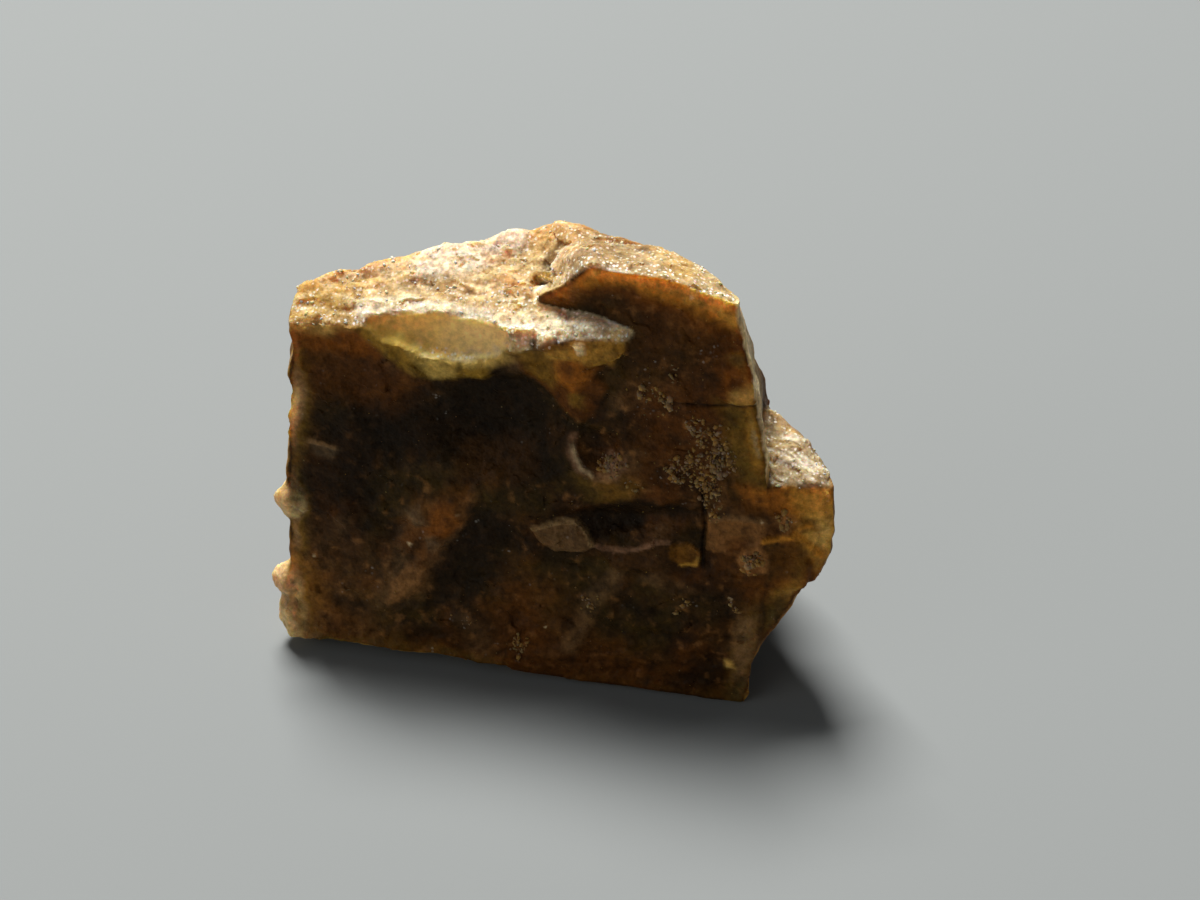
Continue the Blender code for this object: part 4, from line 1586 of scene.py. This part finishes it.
@dataclass(frozen=True)
class Scatter:
    """A scatter of small broken grains that lie on the skin, joined in one mesh."""

    name: str
    seed: int
    count: int
    size: tuple[float, float]
    flatness: float
    tints: tuple[Tint, ...]
    own: float = 0.5         # how much of its own tint a grain shows; the rest is the skin's
    sunk: float = 0.1        # how far its middle lies below the skin, as a share of its size
    corners: int = 12

    def solids(self, draws: np.random.Generator, sizes: Array) -> tuple[Array, Array]:
        """One small twenty-sided solid for each grain, with its corners pushed about and turned.

        Formula: the twelve corners of three golden rectangles, each times 0.55 to 1.25, flattened along
        one axis, and turned by a random orthogonal matrix.

        Args:
            draws: where the random numbers come from.
            sizes: one radius in mm for each grain.

        Returns:
            The grains' corners around their middles, and the triangles.
        """
        gold = (1.0 + math.sqrt(5.0)) / 2.0
        plain = [(0.0, a, b * gold) for a in (-1.0, 1.0) for b in (-1.0, 1.0)]
        corners = np.array([p[k:] + p[:k] for k in range(3) for p in plain]) / math.hypot(1.0, gold)
        spans = np.linalg.norm(corners[:, None] - corners[None], axis=-1)
        near = (spans > 0.1) & (spans < 1.2)
        trios = [(a, b, c) for a, b, c in combinations(range(self.corners), 3)
                 if near[a, b] and near[b, c] and near[a, c]]
        outward = [t if np.linalg.det(corners[list(t)]) > 0 else t[::-1] for t in trios]
        shapes = corners[None] * draws.uniform(0.55, 1.25, (self.count, self.corners, 1))
        shapes *= draws.uniform(0.6, 1.3, (self.count, 1, 3))
        shapes[..., Z] *= self.flatness
        turns, _ = np.linalg.qr(draws.normal(size=(self.count, 3, 3)))
        turns[np.linalg.det(turns) < 0] *= -1.0
        shapes = np.einsum("nij,nkj->nki", turns, shapes) * sizes[:, None, None]
        faces = np.array(outward)[None] + self.corners * np.arange(self.count)[:, None, None]
        return shapes, faces.reshape(-1, 3)

    def build(self, spots: Array, facing: Array, home: Array) -> bpy.types.Object:
        """Make a grain at each spot, about half sunk into the skin.

        Args:
            spots: where the grains lie, in mm, one for each grain.
            facing: the way the skin faces there.
            home: where the skin's marks say that they are.

        Returns:
            The joined grains.
        """
        draws = np.random.default_rng(self.seed)
        sizes = self.size[0] + (self.size[1] - self.size[0]) * draws.random(self.count) ** 2.5
        shapes, faces = self.solids(draws, sizes)
        shapes += (spots - self.sunk * sizes[:, None] * facing)[:, None]
        shapes[..., Z] = np.maximum(shapes[..., Z], 0.0)
        piece = mesh_object(self.name, shapes.reshape(-1, 3), faces)
        palette = np.array([tint.value for tint in self.tints])
        chosen = palette[draws.integers(0, len(palette), self.count)]
        ground = paint_stone(Surface(home, FORM.facing(home)))
        chosen = mixed(ground.colour * 1.1, chosen, np.full(self.count, self.own))
        chosen = chosen * draws.uniform(0.8, 1.15, (self.count, 1))
        once = np.ones(self.corners * self.count)
        Paint(colour=np.clip(np.repeat(chosen, self.corners, axis=0), 0.0, 1.0), rough=0.5 * once,
              clear=0.5 * once, sparkle=0.1 * once, fleck=0.1 * once).put(piece.data)
        return piece


def cluster(first: Array, second: Array, heaps: tuple[Heap, ...]) -> Array:
    """Sum of round heaps on a face.

    Formula: strength exp(-(distance / radius) squared), summed.

    Args:
        first: places along the face.
        second: places across it.
        heaps: the two places, radius and strength of each.

    Returns:
        One sum for each point.
    """
    total = np.zeros(len(first))
    for at_first, at_second, radius, strength in heaps:
        total += strength * np.exp(-((first - at_first) ** 2 + (second - at_second) ** 2) / radius ** 2)
    return total


SPECK_HEAPS: tuple[Heap, ...] = ((3.0, 8.5, 2.6, 1.0), (0.5, 2.4, 2.0, 0.3))
CRUMB_HEAPS: tuple[Heap, ...] = (
    (4.35, 8.1, 0.3, 1.0), (3.75, 7.35, 0.25, 0.8), (4.55, 7.4, 0.4, 0.9), (3.35, 6.95, 0.35, 0.8),
    (4.15, 6.65, 0.3, 1.0), (3.75, 8.3, 0.25, 0.9), (3.0, 8.9, 0.3, 0.5), (2.4, 9.2, 0.35, 0.4),
    (4.2, 7.7, 0.25, 0.8), (5.45, 4.55, 0.3, 0.8), (6.25, 5.8, 0.25, 0.7), (4.3, 5.9, 0.4, 0.4),
    (1.6, 6.9, 0.4, 0.5), (2.2, 6.3, 0.25, 0.4), (3.6, 2.9, 0.4, 0.25), (1.2, 2.6, 0.4, 0.35),
    (-0.8, 1.0, 0.5, 0.3), (3.1, 9.9, 0.3, 0.3), (5.0, 3.1, 0.4, 0.3), (-2.5, 1.6, 0.5, 0.2),
)


# Added to every chance, so that a draw never runs out of places
LEAST_CHANCE = 1e-12


@dataclass
class LooseGrains:
    """Everything small that lies on the skin: crumbs on the front, sugar grains on the tops."""

    crumbs: Scatter = Scatter("front_crumbs", 301, 620, (0.04, 0.13), 0.7,
                              (Tint.CLAY, Tint.ROSE, Tint.CLAY, Tint.CLAY, Tint.TAN), 0.8)
    specks: Scatter = Scatter("front_specks", 302, 420, (0.012, 0.035), 0.8,
                              (Tint.TAN, Tint.CLAY, Tint.ROSE, Tint.HONEY), 0.6)
    sugar: Scatter = Scatter("crust_sugar", 303, 320, (0.03, 0.09), 0.6,
                             (Tint.WHITE, Tint.CREAM, Tint.CREAM, Tint.WHITE), 0.6)

    def build(self, skin: bpy.types.Object) -> list[bpy.types.Object]:
        """Scatter each kind where it belongs.

        Args:
            skin: the finished skin.

        Returns:
            One joined object for each kind.
        """
        points, facing, home = mesh_points(skin.data), mesh_facing(skin.data), mesh_home(skin.data)
        zones = Surface(home, FORM.facing(home))
        x, _, z = home.T
        heaps = zones.front * np.maximum(cluster(x, z, CRUMB_HEAPS) - 0.12, 0.0)
        heaps *= 0.15 + florets(home, x, z)
        sprinkle = zones.front * (0.1 + cluster(x, z, SPECK_HEAPS))
        clumps = ramp(-0.1, 0.4, cloud(points, 0.5, 131, 2))
        tops = zones.crust * (0.25 + clumps) * Area.SUGARED.share(home)
        made = []
        for kind, chance in ((self.crumbs, heaps), (self.specks, sprinkle), (self.sugar, tops)):
            draws = np.random.default_rng(kind.seed + 50)
            chance = chance + LEAST_CHANCE
            share = chance / chance.sum()
            chosen = draws.choice(len(points), size=kind.count, replace=False, p=share)
            made.append(kind.build(points[chosen], facing[chosen], home[chosen]))
        skin.data.attributes.remove(skin.data.attributes[HOME])
        return made


# ---------------------------------------------------------------------------------------------
# Finishes
# ---------------------------------------------------------------------------------------------


class Tree:
    """A material's node tree, with short ways to add and join nodes."""

    def __init__(self, name: str) -> None:
        """Start a material with nothing but its shader and output."""
        self.material = bpy.data.materials.new(name)
        self.material.use_nodes = True
        self.nodes, self.links = self.material.node_tree.nodes, self.material.node_tree.links
        self.shader = self.nodes["Principled BSDF"]

    def add(self, kind: str, inputs: dict[str | int, object] | None = None,
            **settings: object) -> bpy.types.Node:
        """Add a node, set its own settings, and fill its inputs with values or links.

        Args:
            kind: the node's type without ShaderNode.
            inputs: a value or an output socket for each input.
            settings: attributes of the node.

        Returns:
            The node.
        """
        node = self.nodes.new("ShaderNode" + kind)
        for key, value in settings.items():
            setattr(node, key, value)
        self.fill(node, inputs or {})
        return node

    def fill(self, node: bpy.types.Node, inputs: dict[str | int, object]) -> None:
        """Set or link a node's inputs.

        Args:
            node: the node to fill.
            inputs: a value or an output socket for each input.
        """
        for key, value in inputs.items():
            if isinstance(value, bpy.types.NodeSocket):
                self.links.new(value, node.inputs[key])
            else:
                node.inputs[key].default_value = value

    def maths(self, operation: str, *terms: object, clamp: bool = False) -> bpy.types.NodeSocket:
        """The outcome of a Math node on the terms, each a number or an output."""
        return self.add("Math", dict(enumerate(terms)), operation=operation, use_clamp=clamp).outputs[0]

    def vector(self, operation: str, *terms: object) -> bpy.types.NodeSocket:
        """The outcome of a Vector Math node on the terms, each a vector or an output."""
        return self.add("VectorMath", dict(enumerate(terms)), operation=operation).outputs[0]

    def spread(self, value: bpy.types.NodeSocket, low: float, high: float, least: float = 0.0,
               most: float = 1.0) -> bpy.types.NodeSocket:
        """A value carried from low..high to least..most, and held there.

        Args:
            value: an output.
            low: where the value starts.
            high: where it ends.
            least: what it becomes at low.
            most: what it becomes at high.

        Returns:
            The new output.
        """
        ends = {"From Min": low, "From Max": high, "To Min": least, "To Max": most}
        return self.add("MapRange", {"Value": value, **ends}).outputs["Result"]


# A colour Mix node's sockets, by their places
MIX_SHARE, MIX_FROM, MIX_TO, MIX_RESULT = 0, 6, 7, 2


@dataclass(frozen=True)
class Fleck:
    """A kind of fleck: which of a cell's random numbers picks it, its colour, and its weight."""

    channel: str
    colour: Rgba
    weight: float


@dataclass(frozen=True)
class StoneFinish:
    """Translucent brown stone: light soaks in and comes out amber, and broken grain glints."""

    name: str
    bump: float = 0.35
    glow_reach: float = 0.0012
    glow_colour: Colour = (1.0, 0.42, 0.12)
    ior: float = 1.6
    specular: float = 0.05
    grain_mm: float = 0.1
    fleck_mm: float = 0.085
    mottle: tuple[float, float] = (0.52, 1.48)
    # The near-white fleck is mostly painted sparkle, for glints of light off the grain; the brown one is
    # dark grain.
    flecks: tuple[Fleck, ...] = (Fleck("Green", (0.2, 0.1, 0.04, 1.0), 0.44),
                                 Fleck("Red", (0.95, 0.9, 0.8, 1.0), 1.1))

    def material(self) -> bpy.types.Material:
        """Build the finish: painted tint and roughness, fine mottling, and grain that glints.

        Returns:
            The material.
        """
        tree = Tree(self.name)
        place = tree.add("TexCoord").outputs["Object"]
        in_mm = tree.add("Mapping", {"Vector": place, "Scale": (1.0 / MM,) * 3}).outputs["Vector"]
        painted = {name: tree.add("Attribute", attribute_name=name).outputs for name in
                   ("tint", "rough", "clear", "sparkle", "fleck")}
        mottle = tree.add("TexNoise", {"Vector": in_mm, "Scale": 5.0, "Detail": 5.0, "Roughness": 0.7})
        rough = painted["rough"]["Fac"]
        shade = tree.spread(mottle.outputs["Fac"], 0.3, 0.7, *self.mottle)
        uneven = tree.spread(rough, 0.14, 0.32, 0.3, 1.0)
        shade = tree.maths("MULTIPLY_ADD", tree.maths("SUBTRACT", shade, 1.0), uneven, 1.0)
        tint = tree.vector("MULTIPLY", painted["tint"]["Color"], shade)
        tint = self.flecked(tree, in_mm, tint, painted["fleck"]["Fac"])
        grain = tree.add("TexVoronoi", {"Vector": in_mm, "Scale": 1.0 / self.grain_mm}, feature="F1")
        dust = tree.add("TexNoise", {"Vector": in_mm, "Scale": 14.0, "Detail": 3.0}).outputs["Fac"]
        height = tree.maths("ADD", grain.outputs["Distance"], dust)
        rise = tree.maths("MULTIPLY", rough, 2.0 * self.bump)
        bump = tree.add("Bump", {"Strength": rise, "Distance": self.grain_mm * MM * 0.5, "Height": height})
        lean = tree.vector("SUBTRACT", grain.outputs["Color"], (0.5, 0.5, 0.5))
        lean = tree.add("VectorMath", {0: lean, "Scale": painted["sparkle"]["Fac"]}, operation="SCALE")
        normal = tree.vector("NORMALIZE", tree.vector("ADD", bump.outputs["Normal"], lean.outputs[0]))
        rougher = tree.maths("ADD", rough, tree.spread(dust, 0.3, 0.7, -0.1, 0.12), clamp=True)
        tree.fill(tree.shader, {
            "Base Color": tint, "Roughness": rougher, "Normal": normal, "IOR": self.ior,
            "Specular IOR Level": self.specular, "Subsurface Weight": painted["clear"]["Fac"],
            "Subsurface Scale": self.glow_reach, "Subsurface Radius": self.glow_colour,
        })
        return tree.material

    def flecked(self, tree: Tree, in_mm: bpy.types.NodeSocket, tint: bpy.types.NodeSocket,
                share: bpy.types.NodeSocket) -> bpy.types.NodeSocket:
        """Bright and dark flecks strewn over a tint: the bright ones mostly painted sparkle, standing in
        for glints of light off the grain, and the dark ones dark grains.

        Formula: a cell is bright where its own random number is above 1 - 0.5 share, and dark where a
        second one is; each fades from the cell's middle outwards, and both weigh by the share.

        Args:
            tree: the material's nodes.
            in_mm: places, in mm.
            tint: the colour to strew them on.
            share: how thickly they lie, 0 to 1.

        Returns:
            The colour with its grains.
        """
        cells = tree.add("TexVoronoi", {"Vector": in_mm, "Scale": 1.0 / self.fleck_mm}, feature="F1")
        own = tree.add("SeparateColor", {"Color": cells.outputs["Color"]}).outputs
        middle = tree.spread(cells.outputs["Distance"], 0.62, 0.3)
        for fleck in self.flecks:
            picked = tree.spread(tree.maths("MULTIPLY_ADD", share, 0.5, own[fleck.channel]), 0.98, 1.04)
            worth = tree.maths("MULTIPLY", share, fleck.weight)
            amount = tree.maths("MULTIPLY", tree.maths("MULTIPLY", picked, middle), worth, clamp=True)
            parts = {MIX_SHARE: amount, MIX_FROM: tint, MIX_TO: fleck.colour}
            mix = tree.add("Mix", parts, data_type="RGBA")
            tint = mix.outputs[MIX_RESULT]
        return tint


# ---------------------------------------------------------------------------------------------
# Studio
# ---------------------------------------------------------------------------------------------


@dataclass(frozen=True)
class Lamp:
    """A square soft light: its place and width in mm, its watts and its colour."""

    name: str
    place: Point
    width: float
    watts: float
    colour: Colour


@dataclass(frozen=True)
class Studio:
    """A pale floor, soft light from behind and above, and the camera."""

    azimuth: float = math.radians(11.0)
    elevation: float = math.radians(35.0)
    distance: float = 94.7 * MM
    target: Point = (0.213 * MM, 2.572 * MM, 3.548 * MM)
    lens: float = 100.0
    sensor: float = 36.0
    lamps: tuple[Lamp, ...] = (
        Lamp("window", (-58.0, 92.0, 230.0), 95.0, 1.3, (1.0, 0.975, 0.93)),
        Lamp("fill", (-130.0, -150.0, 70.0), 160.0, 0.08, (1.0, 0.97, 0.92)),
    )
    lamp_target: Point = (0.0, 0.0, 6.0 * MM)
    floor_half: float = 600.0
    floor_colour: Rgba = (0.225, 0.24, 0.245, 1.0)
    air_colour: Rgba = (0.9, 0.93, 0.95, 1.0)
    air_strength: float = 0.09

    def add_camera(self) -> None:
        """Stand the camera in front, a little to the right and well above."""
        data = bpy.data.cameras.new("camera")
        data.lens, data.sensor_width = self.lens, self.sensor
        data.clip_start, data.clip_end = 0.002, 5.0
        back = Vector((math.sin(self.azimuth) * math.cos(self.elevation),
                       -math.cos(self.azimuth) * math.cos(self.elevation), math.sin(self.elevation)))
        camera = bpy.data.objects.new("camera", data)
        camera.location = Vector(self.target) + back * self.distance
        camera.rotation_euler = back.to_track_quat("Z", "Y").to_euler()
        bpy.context.scene.collection.objects.link(camera)
        bpy.context.scene.camera = camera

    def add_light(self, lamp: Lamp) -> None:
        """Hang a lamp so that it looks at the stone's middle.

        Args:
            lamp: what to hang.
        """
        data = bpy.data.lights.new(lamp.name, "AREA")
        data.size, data.energy, data.color = lamp.width * MM, lamp.watts, lamp.colour
        hung = bpy.data.objects.new(lamp.name, data)
        hung.location = Vector(lamp.place) * MM
        aim = hung.location - Vector(self.lamp_target)
        hung.rotation_euler = aim.to_track_quat("Z", "Y").to_euler()
        bpy.context.scene.collection.objects.link(hung)

    def add_floor(self) -> None:
        """A wide pale floor under the stone."""
        corners = self.floor_half * np.array([(-1, -1, 0), (1, -1, 0), (1, 1, 0), (-1, 1, 0)])
        floor = mesh_object("floor", corners, np.array([[0, 1, 2, 3]]))
        tree = Tree("floor_paper")
        tree.fill(tree.shader, {"Base Color": self.floor_colour, "Roughness": 0.85,
                                "Specular IOR Level": 0.2})
        floor.data.materials.append(tree.material)

    def build(self) -> None:
        """Set up the floor, the lights, the air and the camera."""
        self.add_floor()
        for lamp in self.lamps:
            self.add_light(lamp)
        world = bpy.data.worlds.new("air")
        world.use_nodes = True
        air = world.node_tree.nodes["Background"].inputs
        air["Color"].default_value, air["Strength"].default_value = self.air_colour, self.air_strength
        bpy.context.scene.world = world
        bpy.context.scene.view_settings.view_transform = "Standard"
        self.add_camera()


# ---------------------------------------------------------------------------------------------
# Putting it together
# ---------------------------------------------------------------------------------------------


def dress(piece: bpy.types.Object, finish: bpy.types.Material) -> None:
    """Give a piece its finish, its slot in the record and the body it rides on.

    Args:
        piece: a finished mesh.
        finish: its material.
    """
    piece.data.materials.clear()
    piece.data.materials.append(finish)
    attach(piece, BODY)
    log.info("%s: %d points, %d faces", piece.name, len(piece.data.vertices), len(piece.data.polygons))


def main() -> None:
    """Build the skin, what lies on it and the studio, and note the sizes."""
    logging.basicConfig(level=logging.INFO, format="%(name)s: %(message)s")
    skin = StoneSkin().build()
    dress(skin, StoneFinish("herderite_stone").material())
    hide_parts(STONE_NODE)
    for piece in LooseGrains().build(skin):
        dress(piece, StoneFinish(piece.name + "_stone", bump=0.2, mottle=(0.85, 1.15)).material())
    Studio().build()


if __name__ == "__main__":
    main()
